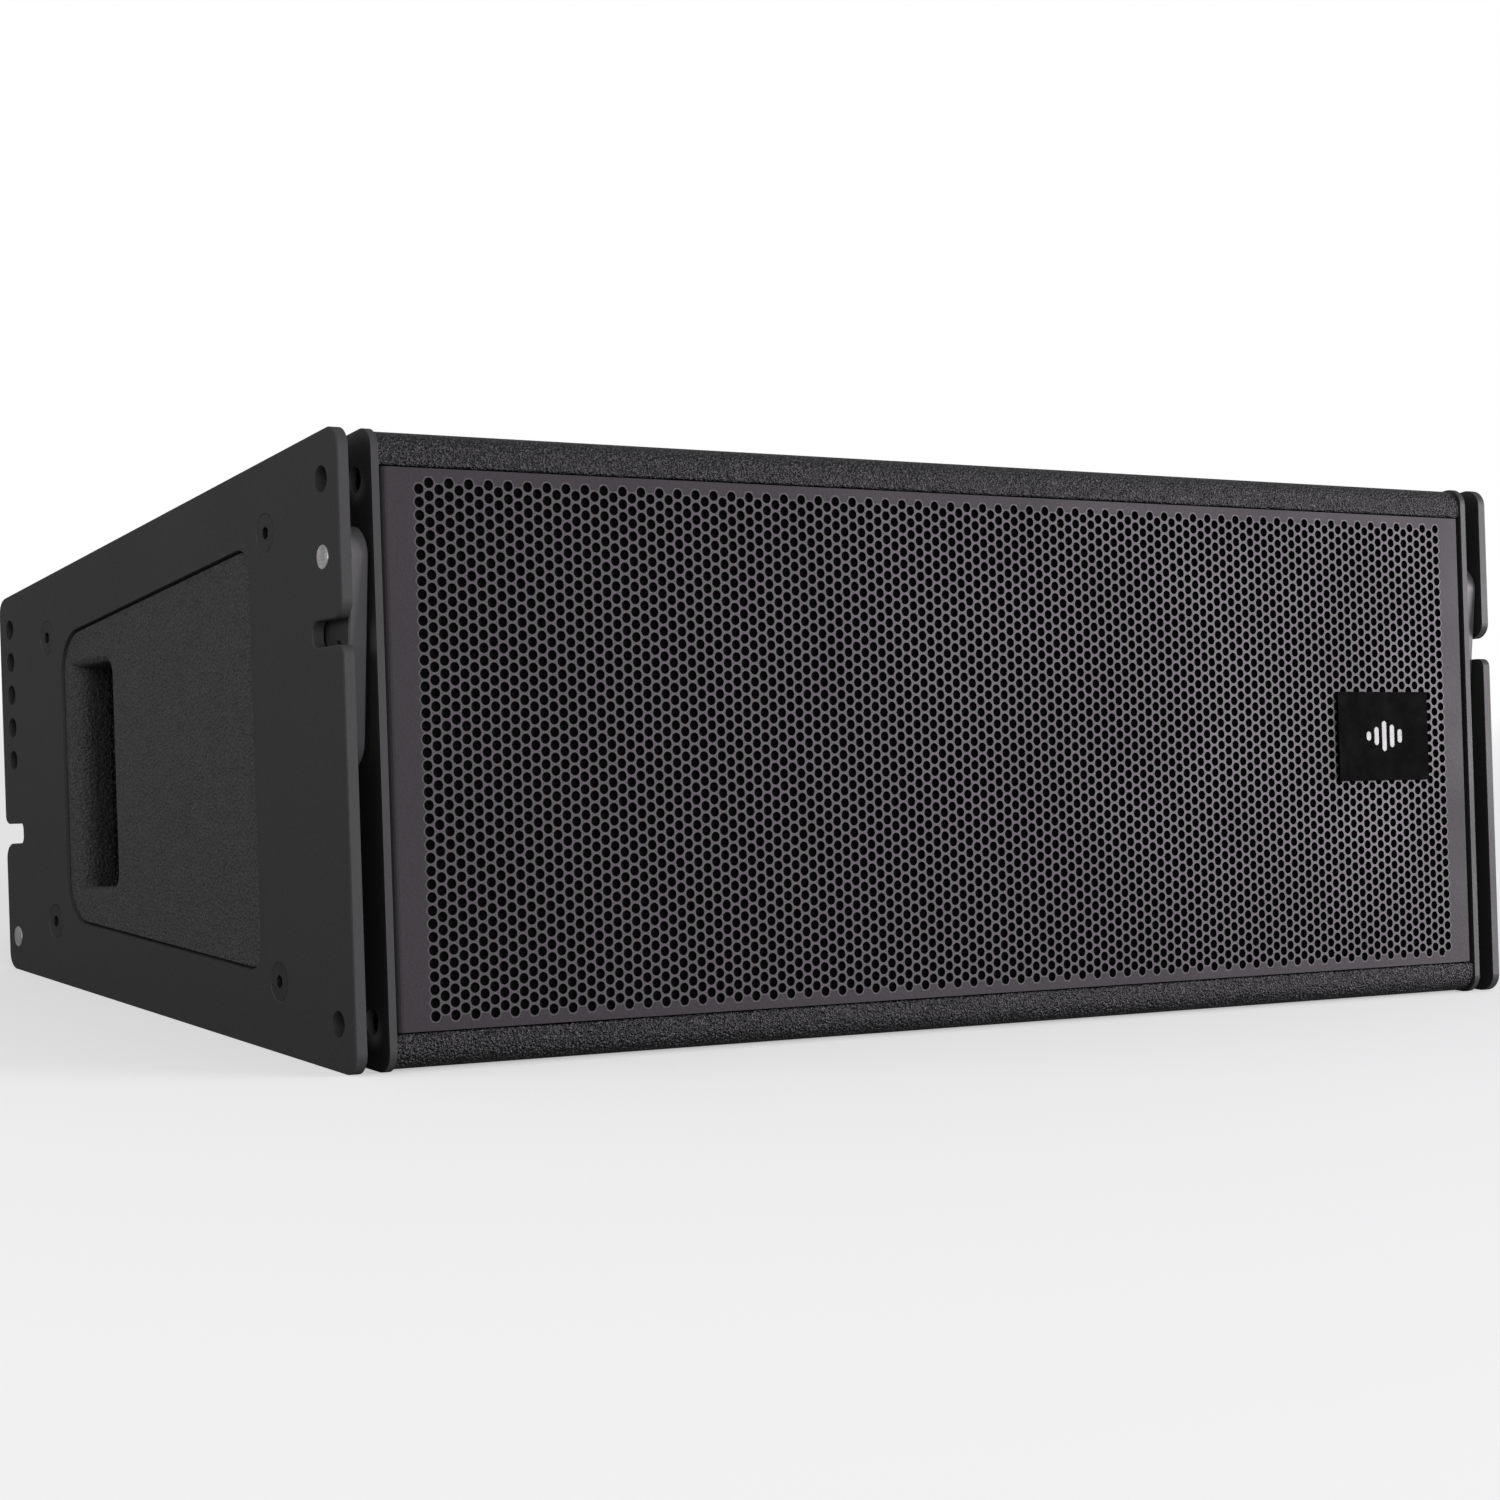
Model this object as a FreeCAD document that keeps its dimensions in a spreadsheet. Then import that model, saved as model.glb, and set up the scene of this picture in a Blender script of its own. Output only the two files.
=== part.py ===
import FreeCAD, Part
import Sketcher
import math
import os

# Line array speaker element: a wedge shaped two way cabinet between steel rigging plates.
#
# Every sub-part is drawn in the enclosure's own frame, in millimetres: X to the right seen
# from the front, Y from the grille's face to the rear, Z up from the mid plane, with the
# front upright.  The last step stands the whole enclosure on its lower plate edges, which
# leans the front back by the rake, with the origin under the middle of its bounding box.

DIMENSIONS = (
    ("width", 786.0, "across the outer rigging plates"),
    ("rake_deg", 6.0, "taper of the top and of the bottom"),
    # Rigging plates
    ("plate_half", 155.4, "half height of the plates at the grille's face"),
    ("plate_front", -1.0, "front edge of the plates"),
    ("plate_rear", 446.0, "rear edge of the plates"),
    ("outer_plate", 6.0, "thickness"),
    ("inner_plate", 4.0, "thickness"),
    ("link_gap", 12.0, "between the plates"),
    ("plate_corner", 10.0, "corner radius"),
    ("plate_chamfer", 0.6, "around the outer plates' outside edge"),
    ("window_front", 100.0, "front edge of the plate window"),
    ("window_rear", 352.0, "rear edge of the plate window"),
    ("window_margin", 37.9, "from the plate's long edge to the window"),
    ("window_nose", 12.0, "front corner radius of the window"),
    ("window_tail", 26.0, "rear corner radius of the window"),
    ("pin_bore", 6.5, "radius of the pin bores at the front"),
    ("splay_bore", 5.75, "radius of the splay bores at the rear"),
    ("pin_front", 16.6, "Y of the front pin bores"),
    ("pin_high", 130.4, "Z of the front pin bores"),
    ("splay_rear", 429.8, "Y of the splay bores"),
    ("splay_top", 90.2, "Z of the highest splay bore"),
    ("splay_pitch", 19.2, "spacing of the splay bores"),
    ("splay_count", 5.0, "number of splay bores"),
    ("front_notch_mid", 56.6, "Z of the front finger notch"),
    ("front_notch_tall", 12.8, "height of the front finger notch"),
    ("front_notch_end", 31.0, "Y of its closed end"),
    ("rear_notch_mid", -29.6, "Z of the rear finger notch"),
    ("rear_notch_tall", 11.7, "height of the rear finger notch"),
    ("rear_notch_end", 418.5, "Y of its closed end"),
    ("notch_ramp", 9.0, "rounding of each notch's wide lip"),
    ("notch_lip", 5.0, "rounding of each notch's other lip and of the front notch's end"),
    ("notch_heel", 4.0, "rounding of the rear notch's end"),
    ("screw_front_along", 80.0, "Y of the front plate screws"),
    ("screw_front_high", 111.1, "Z of the front plate screws"),
    ("screw_rear_along", 372.0, "Y of the rear plate screws"),
    ("screw_rear_high", 81.3, "Z of the rear plate screws"),
    ("screw_shank", 5.0, "M10 shank radius"),
    ("screw_play", 0.5, "around the shanks"),
    ("screw_head", 10.0, "radius of the countersinks"),
    ("screw_sunk", 0.2, "heads below the plate's face"),
    ("screw_length", 44.0, "overall"),
    ("socket_across", 6.0, "hexagon socket across the flats"),
    ("socket_deep", 3.2, "depth of the hexagon socket"),
    ("spacer_radius", 12.0, "outer radius of the spacer tubes"),
    # Links and rivets
    ("rivet", 6.0, "radius"),
    ("rivet_proud", 0.3, "how far its head stands out"),
    ("rivet_fit", 0.02, "between the rivets and the plates"),
    ("link_play", 0.06, "between the rivets and the links"),
    ("front_pivot_along", 17.3, "Y of the front rivet"),
    ("front_pivot_high", 93.1, "Z of the front rivet"),
    ("rear_pivot_along", 431.3, "Y of the rear rivet"),
    ("rear_pivot_high", -90.2, "Z of the rear rivet"),
    ("link", 10.0, "link thickness"),
    ("link_chamfer", 0.8, "along the links' outlines"),
    ("front_link_reach", 87.4, "rivet to coupling bore"),
    ("lanyard_along", 43.0, "rivet to the lanyard hole, along the front link"),
    ("lanyard_aside", 4.1, "lanyard hole from the front link's centre line"),
    ("lanyard_bore", 3.5, "radius of the lanyard hole"),
    ("front_link_half", 15.0, "half width and end radius"),
    ("rear_link_reach", 130.0, "rivet to coupling bore"),
    ("rear_link_half", 13.0, "half width and end radius"),
    ("rear_link_lean_deg", 31.2, "stowed lean towards the front, on the handle block"),
    # Cabinet
    ("cabinet_half", 154.4, "half height of the cabinet at the grille's face"),
    ("cabinet_rear", 440.0, "rear edge of the panels"),
    ("panel", 18.0, "plywood thickness"),
    ("bullnose", 10.0, "radius of the long front edges"),
    ("panel_ease", 1.5, "rounding of those panels' inner front edges"),
    ("panel_heel", 3.0, "rounding of their outer rear edges"),
    ("side_front", 8.0, "front edge of the side panels"),
    ("rear_recess", 8.0, "rear panel behind the panel edges"),
    ("baffle_front", 30.0, "front face of the baffle"),
    ("divider_inner", 90.0, "X of the chamber divider's inner face"),
    ("divider", 12.0, "divider thickness"),
    ("pin_pocket", 8.0, "depth of the blind pockets for pin tips"),
    ("pin_play", 0.5, "between those pockets and the pin bores"),
    ("nut_barrel", 6.5, "radius of the tee nuts"),
    ("nut_play", 0.25, "around the tee nuts"),
    ("nut_long", 13.5, "length of the tee nuts"),
    ("nut_flange", 13.0, "radius of their flanges"),
    ("nut_sheet", 1.5, "thickness of their flanges"),
    ("nut_thread", 0.05, "between the screws and the nuts' threads"),
    ("wire_hole", 8.0, "radius of the dividers' wire holes"),
    ("cutout_half_wide", 55.0, "half width of the rear panel's opening"),
    ("cutout_half_tall", 30.0, "half height of the rear panel's opening"),
    ("slab_thick", 25.0, "damping foam"),
    ("slab_half", 85.0, "half height of the damping foam"),
    ("slab_gap", 3.0, "beside the damping foam"),
    # Handles
    ("block_gap", 1.5, "around the handle block and below the plate's face"),
    ("grip_front", 285.0, "front edge of the hand pocket"),
    ("grip_rear", 336.0, "rear edge of the hand pocket"),
    ("grip_half", 62.0, "half height of the hand pocket"),
    ("grip_ramp", 11.0, "rounding of the pocket's rear edge"),
    ("grip_round", 5.0, "rounding of the pocket's upper and lower edges"),
    ("grip_corner", 8.0, "corner radius of the pocket"),
    ("cup_deep", 32.0, "cup behind the side panel"),
    ("cup_wall", 3.0, "wall of the cup"),
    ("cup_flange", 14.0, "flange around the cup"),
    # Grille
    ("grille_half_wide", 369.5, "half width"),
    ("grille_half_tall", 135.6, "half height"),
    ("grille_sheet", 1.5, "sheet thickness"),
    ("grille_bend", 3.0, "outside bend radius"),
    ("foam_half_wide", 366.0, "half width of the grille foam"),
    ("foam_half_tall", 133.0, "half height of the grille foam"),
    ("badge_wide", 75.0, "badge width"),
    ("badge_tall", 53.0, "badge height"),
    ("badge_thick", 1.6, "badge thickness"),
    ("badge_corner", 1.2, "corner radius of the badge"),
    ("badge_across", 298.1, "X of the badge"),
    ("badge_high", 2.8, "Z of the badge"),
    # Woofers
    ("woofer_offset", 222.0, "X of the woofer axes"),
    ("woofer_flange", 129.0, "frame radius"),
    ("woofer_cutout", 116.0, "baffle hole radius"),
    ("woofer_pcd_radius", 122.5, "radius of the screw circle"),
    ("flange_proud", 6.0, "frames and waveguide in front of the baffle"),
    ("roll_middle", 103.0, "middle radius of the surround's roll"),
    ("roll_radius", 4.8, "outer radius of the roll"),
    ("skin", 0.8, "thickness of the surround and of the spider"),
    ("coil_inside", 24.9, "inner radius of the voice coil's former"),
    # High frequency section
    ("horn_half_wide", 75.0, "half width of the mouth"),
    ("horn_half_tall", 113.0, "half height of the mouth"),
    ("horn_flange_wide", 90.0, "half width of the flange"),
    ("horn_flange_tall", 128.0, "half height of the flange"),
    ("horn_deep", 88.0, "mouth to throat plate"),
    ("horn_wall", 4.0, "wall of the waveguide"),
    ("horn_clear", 7.0, "baffle opening around the mouth"),
    ("throat_plate", 10.0, "thickness of the throat plate"),
    ("throat", 12.0, "radius of the throats"),
    ("driver_spacing", 58.0, "Z of the compression drivers"),
    ("driver_radius", 50.0, "radius of the compression drivers"),
    # Electrical
    ("board_front", 215.0, "front edge of the crossover board"),
    ("board_long", 185.0, "length of the crossover board"),
    ("board_half", 55.0, "half height of the crossover board"),
    ("connector_half_wide", 75.0, "half width of the connector plate"),
    ("connector_half_tall", 43.0, "half height of the connector plate"),
    ("socket_offset", 30.0, "X of the two sockets"),
    ("socket_body", 12.0, "radius of a socket's body"),
    ("socket_play", 0.2, "around a socket's body"),
    ("socket_flange", 4.0, "socket and its flange behind the rear panel's face"),
    ("socket_deep_in", 26.0, "socket inside the cabinet"),
    ("socket_well", 9.5, "radius of the well that takes the plug"),
    ("well_deep", 24.0, "depth of that well"),
    ("connector_sheet", 2.0, "thickness of the connector plate"),
)

SIDES = (("left", -1), ("right", 1))
X_AXIS = FreeCAD.Vector(1, 0, 0)
Y_AXIS = FreeCAD.Vector(0, 1, 0)
ALONG_Y = FreeCAD.Rotation(X_AXIS, -90)
ALONG_X = FreeCAD.Rotation(Y_AXIS, 90)
UPRIGHT = FreeCAD.Rotation()
RAKE = "tan(dims.rake_deg * 1 deg)"
CABINET_SIDE = "(dims.width / 2 - dims.outer_plate - dims.link_gap - dims.inner_plate)"
SCREW_HOLE = "(dims.screw_shank + dims.screw_play)"
HEAD_DEEP = "(dims.screw_head - dims.screw_shank - dims.screw_play)"
RIVET_RIM = (0.6, 0.25)  # along the head's face and along its side

doc = FreeCAD.newDocument("LineArraySpeaker")
sheet = doc.addObject("Spreadsheet::Sheet", "dims")
for row, (alias, number, note) in enumerate(DIMENSIONS, start=1):
    sheet.set(f"A{row}", alias.replace("_", " "))
    sheet.set(f"B{row}", str(number))
    sheet.set(f"C{row}", note)
    sheet.setAlias(f"B{row}", alias)
doc.recompute()

finished = {}


def value(expression):
    """The number that an expression on the sheet gives."""
    result = sheet.evalExpression(str(expression))
    return float(getattr(result, "Value", result))


def finish(name, thing):
    """Name a finished sub-part; its label is its file's name."""
    thing.Label = name
    finished[name] = thing
    return thing


def plate_edge(along):
    """Half height of the rigging plates at a depth."""
    return f"(dims.plate_half - {RAKE} * ({along}))"


def cabinet_top(along):
    """Half height of the cabinet's outside at a depth."""
    return f"(dims.cabinet_half - {RAKE} * ({along}))"


def cabinet_room(along):
    """Half height of the cabinet's inside at a depth."""
    return f"({cabinet_top(along)} - dims.panel / cos(dims.rake_deg * 1 deg))"


def window_edge(along):
    """Half height of the plate window at a depth."""
    return f"({plate_edge(along)} - dims.window_margin)"


# ---------------------------------------------------------------- primitives and booleans


def primitive(kind, name, at=(0, 0, 0), turn=UPRIGHT, **sizes):
    """A Part primitive whose sizes and place are expressions on the sheet."""
    thing = doc.addObject("Part::" + kind, name)
    for prop, expression in sizes.items():
        thing.setExpression(prop, str(expression))
    thing.Placement = FreeCAD.Placement(FreeCAD.Vector(), turn)
    for axis, expression in zip("xyz", at):
        thing.setExpression(f"Placement.Base.{axis}", str(expression))
    return thing


def block(name, low, high):
    """A box between two corners."""
    sizes = [f"({b}) - ({a})" for a, b in zip(low, high)]
    return primitive("Box", name, at=low, Length=sizes[0], Width=sizes[1], Height=sizes[2])


def rod(name, radius, length, at, turn=ALONG_Y):
    """A cylinder that starts at a point and runs along the turned Z axis."""
    return primitive("Cylinder", name, at=at, turn=turn, Radius=radius, Height=length)


def cut(name, base, *tools):
    """One shape less one or more others."""
    thing = doc.addObject("Part::Cut", name)
    thing.Base = base
    thing.Tool = tools[0] if len(tools) == 1 else join(name + "_tools", *tools)
    return thing


def join(name, *parts):
    """Several touching shapes as one solid."""
    thing = doc.addObject("Part::MultiFuse", name)
    thing.Shapes = list(parts)
    return thing


def group(name, parts):
    """Separate solids kept as one node."""
    thing = doc.addObject("Part::Compound", name)
    thing.Links = list(parts)
    return thing


def tube(name, outer, inner, length, at, turn=ALONG_Y):
    """A straight tube."""
    outside = rod(name + "_outside", outer, length, at, turn)
    return cut(name, outside, rod(name + "_bore", inner, length, at, turn))


# ---------------------------------------------------------------- sketched bodies


def new_body(name):
    return doc.addObject("PartDesign::Body", name)


def sketch_on(body, name, plane, offset="0"):
    """A sketch on one of the body's own origin planes, moved along its normal."""
    sketch = body.newObject("Sketcher::SketchObject", name)
    planes = [f for f in body.Origin.OriginFeatures if f.Role == plane]
    sketch.AttachmentSupport = (planes[0], [""])
    sketch.MapMode = "FlatFace"
    sketch.setExpression("AttachmentOffset.Base.z", offset)
    return sketch


def tie(sketch, element, point, across, up):
    """Hold a sketch point at two expressions measured from the sketch's origin."""
    for kind, axis, expression in (("DistanceX", -2, across), ("DistanceY", -1, up)):
        if abs(value(expression)) < 1e-9:
            sketch.addConstraint(Sketcher.Constraint("PointOnObject", element, point, axis))
        else:
            index = sketch.addConstraint(
                Sketcher.Constraint(kind, -1, 1, element, point, value(expression))
            )
            sketch.setExpression(f"Constraints[{index}]", expression)


def outline(body, name, plane, corners, offset="0"):
    """A closed straight sided outline with every corner tied to the sheet."""
    sketch = sketch_on(body, name, plane, offset)
    points = [FreeCAD.Vector(value(a), value(b), 0) for a, b in corners]
    last = len(points) - 1
    for i, start in enumerate(points):
        sketch.addGeometry(Part.LineSegment(start, points[0 if i == last else i + 1]), False)
    for i in range(len(points)):
        sketch.addConstraint(Sketcher.Constraint("Coincident", i, 2, 0 if i == last else i + 1, 1))
    for i, (across, up) in enumerate(corners):
        tie(sketch, i, 1, across, up)
    return sketch


def circles(body, name, plane, rings, offset="0"):
    """Circles given as (across, up, radius) expressions."""
    sketch = sketch_on(body, name, plane, offset)
    for i, (across, up, radius) in enumerate(rings):
        centre = FreeCAD.Vector(value(across), value(up), 0)
        ring = Part.Circle(centre, FreeCAD.Vector(0, 0, 1), value(radius))
        sketch.addGeometry(ring, False)
        tie(sketch, i, 3, across, up)
        index = sketch.addConstraint(Sketcher.Constraint("Radius", i, value(radius)))
        sketch.setExpression(f"Constraints[{index}]", radius)
    return sketch


def pad(body, name, sketch, length):
    """Raise a sketch along its normal."""
    feature = body.newObject("PartDesign::Pad", name)
    feature.Profile = sketch
    feature.setExpression("Length", length)
    sketch.Visibility = False
    return feature


def pocket(body, name, sketch, length):
    """Cut a sketch along its normal, and check that it took material away."""
    doc.recompute()
    before = body.Shape.Volume
    feature = body.newObject("PartDesign::Pocket", name)
    feature.Profile = sketch
    feature.Reversed = True
    feature.setExpression("Length", length)
    doc.recompute()
    if body.Shape.Volume >= before - 1e-6:
        raise RuntimeError(f"{name} cuts nothing")
    return feature


def board(body, name, corners, face, thick):
    """Pad an outline of the side view from a face's X."""
    return pad(body, name + "_board", outline(body, name + "_outline", "YZ_Plane", corners, face), thick)


def drilled(body, name, plane, rings, face, deep):
    """Cut round holes from a face on."""
    return pocket(body, name, circles(body, name + "_rings", plane, rings, face), deep)


def opened(body, name, plane, corners, face, deep):
    """Cut a straight sided opening from a face on."""
    return pocket(body, name, outline(body, name + "_outline", plane, corners, face), deep)


def dress(body, kind, name, radius, picks):
    """Fillet or chamfer the edges of the body's tip that a test picks."""
    doc.recompute()
    tip = body.Tip
    edges = [f"Edge{i}" for i, edge in enumerate(tip.Shape.Edges, start=1) if picks(edge)]
    if not edges:
        raise RuntimeError(f"{name} finds no edge")
    feature = body.newObject("PartDesign::" + kind, name)
    feature.Base = (tip, edges)
    feature.setExpression("Radius" if kind == "Fillet" else "Size", radius)
    doc.recompute()
    return feature


def upright_edge_at(spots, axis="x"):
    """A test for straight edges along an axis that pass through one of the (a, b) spots."""
    wanted = [tuple(value(v) for v in spot) for spot in spots]

    def picks(edge):
        if edge.Curve.TypeId != "Part::GeomLine":
            return False
        if abs(getattr(edge.tangentAt(edge.FirstParameter), axis)) < 0.99:
            return False
        middle = edge.CenterOfMass
        pair = [getattr(middle, other) for other in "xyz" if other != axis]
        return any(math.dist(pair, spot) < 0.05 for spot in wanted)

    return picks


def revolved(name, profile, centre):
    """A body of revolution about a line along Y; profile is (radius, y) expressions."""
    body = new_body(name)
    sketch = outline(body, name + "_profile", "XY_Plane", profile)
    turn = body.newObject("PartDesign::Revolution", name + "_turn")
    turn.Profile = sketch
    turn.ReferenceAxis = (sketch, ["V_Axis"])
    turn.Angle = 360.0
    body.setExpression("Placement.Base.x", centre[0])
    body.setExpression("Placement.Base.z", centre[1])
    return body


# ---------------------------------------------------------------- rigging plates


def low_face(side, outer, thick):
    """X of a slab's lower face, given its outer face's distance from the middle."""
    return f"-({outer})" if side < 0 else f"({outer}) - ({thick})"


def window_corners(gap):
    """The four corners of the plate window, or of the block that fills it with a gap."""
    front = f"dims.window_front + {gap}"
    rear = f"dims.window_rear - {gap}"
    return [
        (front, f"{gap} - {window_edge(front)}"),
        (rear, f"{gap} - {window_edge(rear)}"),
        (rear, f"{window_edge(rear)} - {gap}"),
        (front, f"{window_edge(front)} - {gap}"),
    ]


def splay_high(index):
    return f"dims.splay_top - {index} * dims.splay_pitch"


def pin_spots(play="0"):
    """Centres and radii of a plate's seven pin bores, or half widths of the pockets behind them."""
    front_bore, rear_bore = f"dims.pin_bore + {play}", f"dims.splay_bore + {play}"
    spots = [("dims.pin_front", f"{sign}dims.pin_high", front_bore) for sign in ("", "-")]
    for i in range(int(value("dims.splay_count"))):
        spots.append(("dims.splay_rear", splay_high(i), rear_bore))
    return spots


def square_about(ring):
    """The corners of the square that just holds a ring."""
    along, high, radius = ring
    return [
        (f"{along} - ({radius})", f"{high} - ({radius})"),
        (f"{along} + {radius}", f"{high} - ({radius})"),
        (f"{along} + {radius}", f"{high} + {radius}"),
        (f"{along} - ({radius})", f"{high} + {radius}"),
    ]


def screw_spots():
    """Centres of the four screws of a plate."""
    spots = []
    for where in ("front", "rear"):
        for sign in ("", "-"):
            spots.append((f"dims.screw_{where}_along", f"{sign}dims.screw_{where}_high"))
    return spots


def rivet_spots():
    return [(f"dims.{end}_pivot_along", f"dims.{end}_pivot_high") for end in ("front", "rear")]


def rigging_plate(name, side, outer, thick, notched):
    """A steel side plate with its window, bores and, on the outer one, finger notches."""
    body = new_body(name)
    face = low_face(side, outer, thick)
    front, rear = "dims.plate_front", "dims.plate_rear"
    corners = [(front, f"-{plate_edge(front)}"), (rear, f"-{plate_edge(rear)}")]
    mouths = []
    if notched:
        end = "dims.rear_notch_end"
        low = "dims.rear_notch_mid - dims.rear_notch_tall / 2"
        high = "dims.rear_notch_mid + dims.rear_notch_tall / 2"
        corners += [(rear, low), (end, low), (end, high), (rear, high)]
        mouths += [(rear, low, "ramp"), (rear, high, "lip"), (end, low, "heel"), (end, high, "heel")]
    corners += [(rear, plate_edge(rear)), (front, plate_edge(front))]
    if notched:
        end = "dims.front_notch_end"
        low = "dims.front_notch_mid - dims.front_notch_tall / 2"
        high = "dims.front_notch_mid + dims.front_notch_tall / 2"
        corners += [(front, high), (end, high), (end, low), (front, low)]
        mouths += [(front, low, "lip"), (front, high, "ramp"), (end, low, "lip"), (end, high, "lip")]
    board(body, name, corners, face, thick)
    opened(body, name + "_window", "YZ_Plane", window_corners("0"), face, thick)
    rings = pin_spots()
    rings += [(along, high, SCREW_HOLE) for along, high in screw_spots()]
    rings += [(along, high, "dims.rivet + dims.rivet_fit") for along, high in rivet_spots()]
    drilled(body, name + "_bores", "YZ_Plane", rings, face, thick)
    spots = [(y, sign + plate_edge(y)) for y in (front, rear) for sign in ("", "-")]
    dress(body, "Fillet", name + "_corners", "dims.plate_corner", upright_edge_at(spots))
    spots = window_corners("0")
    dress(body, "Fillet", name + "_window_nose", "dims.window_nose", upright_edge_at([spots[0], spots[3]]))
    dress(body, "Fillet", name + "_window_tail", "dims.window_tail", upright_edge_at([spots[1], spots[2]]))
    for rounding in sorted({mouth[2] for mouth in mouths}):
        spots = [(along, high) for along, high, kind in mouths if kind == rounding]
        dress(body, "Fillet", f"{name}_notch_{rounding}", f"dims.notch_{rounding}", upright_edge_at(spots))
    return body


def countersink(body, name, side):
    """Open the screw holes of an outer plate to the heads' cones."""
    face = side * value("dims.width / 2")
    radius = value(SCREW_HOLE)

    def picks(edge):
        round_edge = edge.Curve.TypeId == "Part::GeomCircle" and abs(edge.Curve.Radius - radius) < 0.01
        return round_edge and abs(edge.CenterOfMass.x - face) < 0.01

    dress(body, "Chamfer", name + "_countersinks", HEAD_DEEP, picks)


def plates(label, side):
    """Both plates of a side; the outer one's outside edge is eased."""
    outer = rigging_plate(label + "_outer_plate", side, "dims.width / 2", "dims.outer_plate", True)
    countersink(outer, label + "_outer_plate", side)
    face = side * value("dims.width / 2")
    window = [value("dims.window_front - 1"), value("dims.window_rear + 1")]
    tall = value("dims.plate_half - dims.window_margin + 1")

    def rim(edge):
        middle = edge.CenterOfMass
        at_window = window[0] < middle.y < window[1] and abs(middle.z) < tall
        return abs(middle.x - face) < 0.01 and not edge.isClosed() and not at_window

    dress(outer, "Chamfer", label + "_outer_plate_rim", "dims.plate_chamfer", rim)
    finish(label + "_outer_plate", outer)
    second = "dims.width / 2 - dims.outer_plate - dims.link_gap"
    inner = rigging_plate(label + "_inner_plate", side, second, "dims.inner_plate", False)
    finish(label + "_inner_plate", inner)


def turn_along_x(side):
    """The turn that points a cylinder outwards from the middle on a side."""
    return FreeCAD.Rotation(Y_AXIS, 90 * side)


def plate_hardware():
    """Spacer tubes, countersunk screws, tee nuts and pivot rivets of both sides."""
    spacers, screws, nuts, rivets = [], [], [], []
    for label, side in SIDES:
        out = turn_along_x(side)
        for i, (along, high) in enumerate(screw_spots()):
            key = f"{label}_{i}"
            start = (f"{side} * ({CABINET_SIDE} + dims.inner_plate)", along, high)
            sizes = ("dims.spacer_radius", SCREW_HOLE, "dims.link_gap")
            spacers.append(tube("spacer_" + key, *sizes, start, out))
            tip = (f"{side} * (dims.width / 2 - dims.screw_length)", along, high)
            shank_long = "dims.screw_length - dims.socket_deep + dims.screw_sunk"
            shank = rod("shank_" + key, "dims.screw_shank", shank_long, tip, out)
            head = primitive(
                "Cone",
                "head_" + key,
                at=(f"{side} * (dims.width / 2 - {HEAD_DEEP} - dims.screw_sunk)", along, high),
                turn=out,
                Radius1="dims.screw_shank",
                Radius2="dims.screw_head - dims.screw_play",
                Height=HEAD_DEEP,
            )
            recess = primitive(
                "Prism",
                "hexagon_" + key,
                at=(f"{side} * (dims.width / 2 - dims.socket_deep)", along, high),
                turn=out,
                Circumradius="dims.socket_across / sqrt(3)",
                Height="dims.socket_deep",
            )
            recess.Polygon = 6
            screws.append(cut("screw_" + key, join("screw_blank_" + key, shank, head), recess))
            nut_at = (f"{side} * ({CABINET_SIDE} - dims.panel - dims.nut_sheet)", along, high)
            barrel = rod("barrel_" + key, "dims.nut_barrel", "dims.nut_long", nut_at, out)
            flange = rod("flange_" + key, "dims.nut_flange", "dims.nut_sheet", nut_at, out)
            bore = rod("thread_" + key, "dims.screw_shank + dims.nut_thread", "dims.nut_long", nut_at, out)
            nuts.append(cut("nut_" + key, join("nut_blank_" + key, barrel, flange), bore))
        for i, (along, high) in enumerate(rivet_spots()):
            length = f"dims.width / 2 - {CABINET_SIDE} + dims.rivet_proud"
            at = (f"{side} * {CABINET_SIDE}", along, high)
            body = rod(f"rivet_body_{label}_{i}", "dims.rivet", length, at, out)
            rim = doc.addObject("Part::Chamfer", f"rivet_{label}_{i}")
            rim.Base = body
            face = side * value("dims.width / 2 + dims.rivet_proud")
            doc.recompute()
            for n, edge in enumerate(body.Shape.Edges, start=1):
                if edge.Curve.TypeId == "Part::GeomCircle" and abs(edge.CenterOfMass.x - face) < 0.01:
                    rim.Edges = [(n, *RIVET_RIM)]
            rivets.append(rim)
    finish("plate_spacers", group("plate_spacers", spacers))
    finish("plate_screws", group("plate_screws", screws))
    finish("plate_tee_nuts", group("plate_tee_nuts", nuts))
    finish("pivot_rivets", group("pivot_rivets", rivets))


# ---------------------------------------------------------------- links


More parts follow.
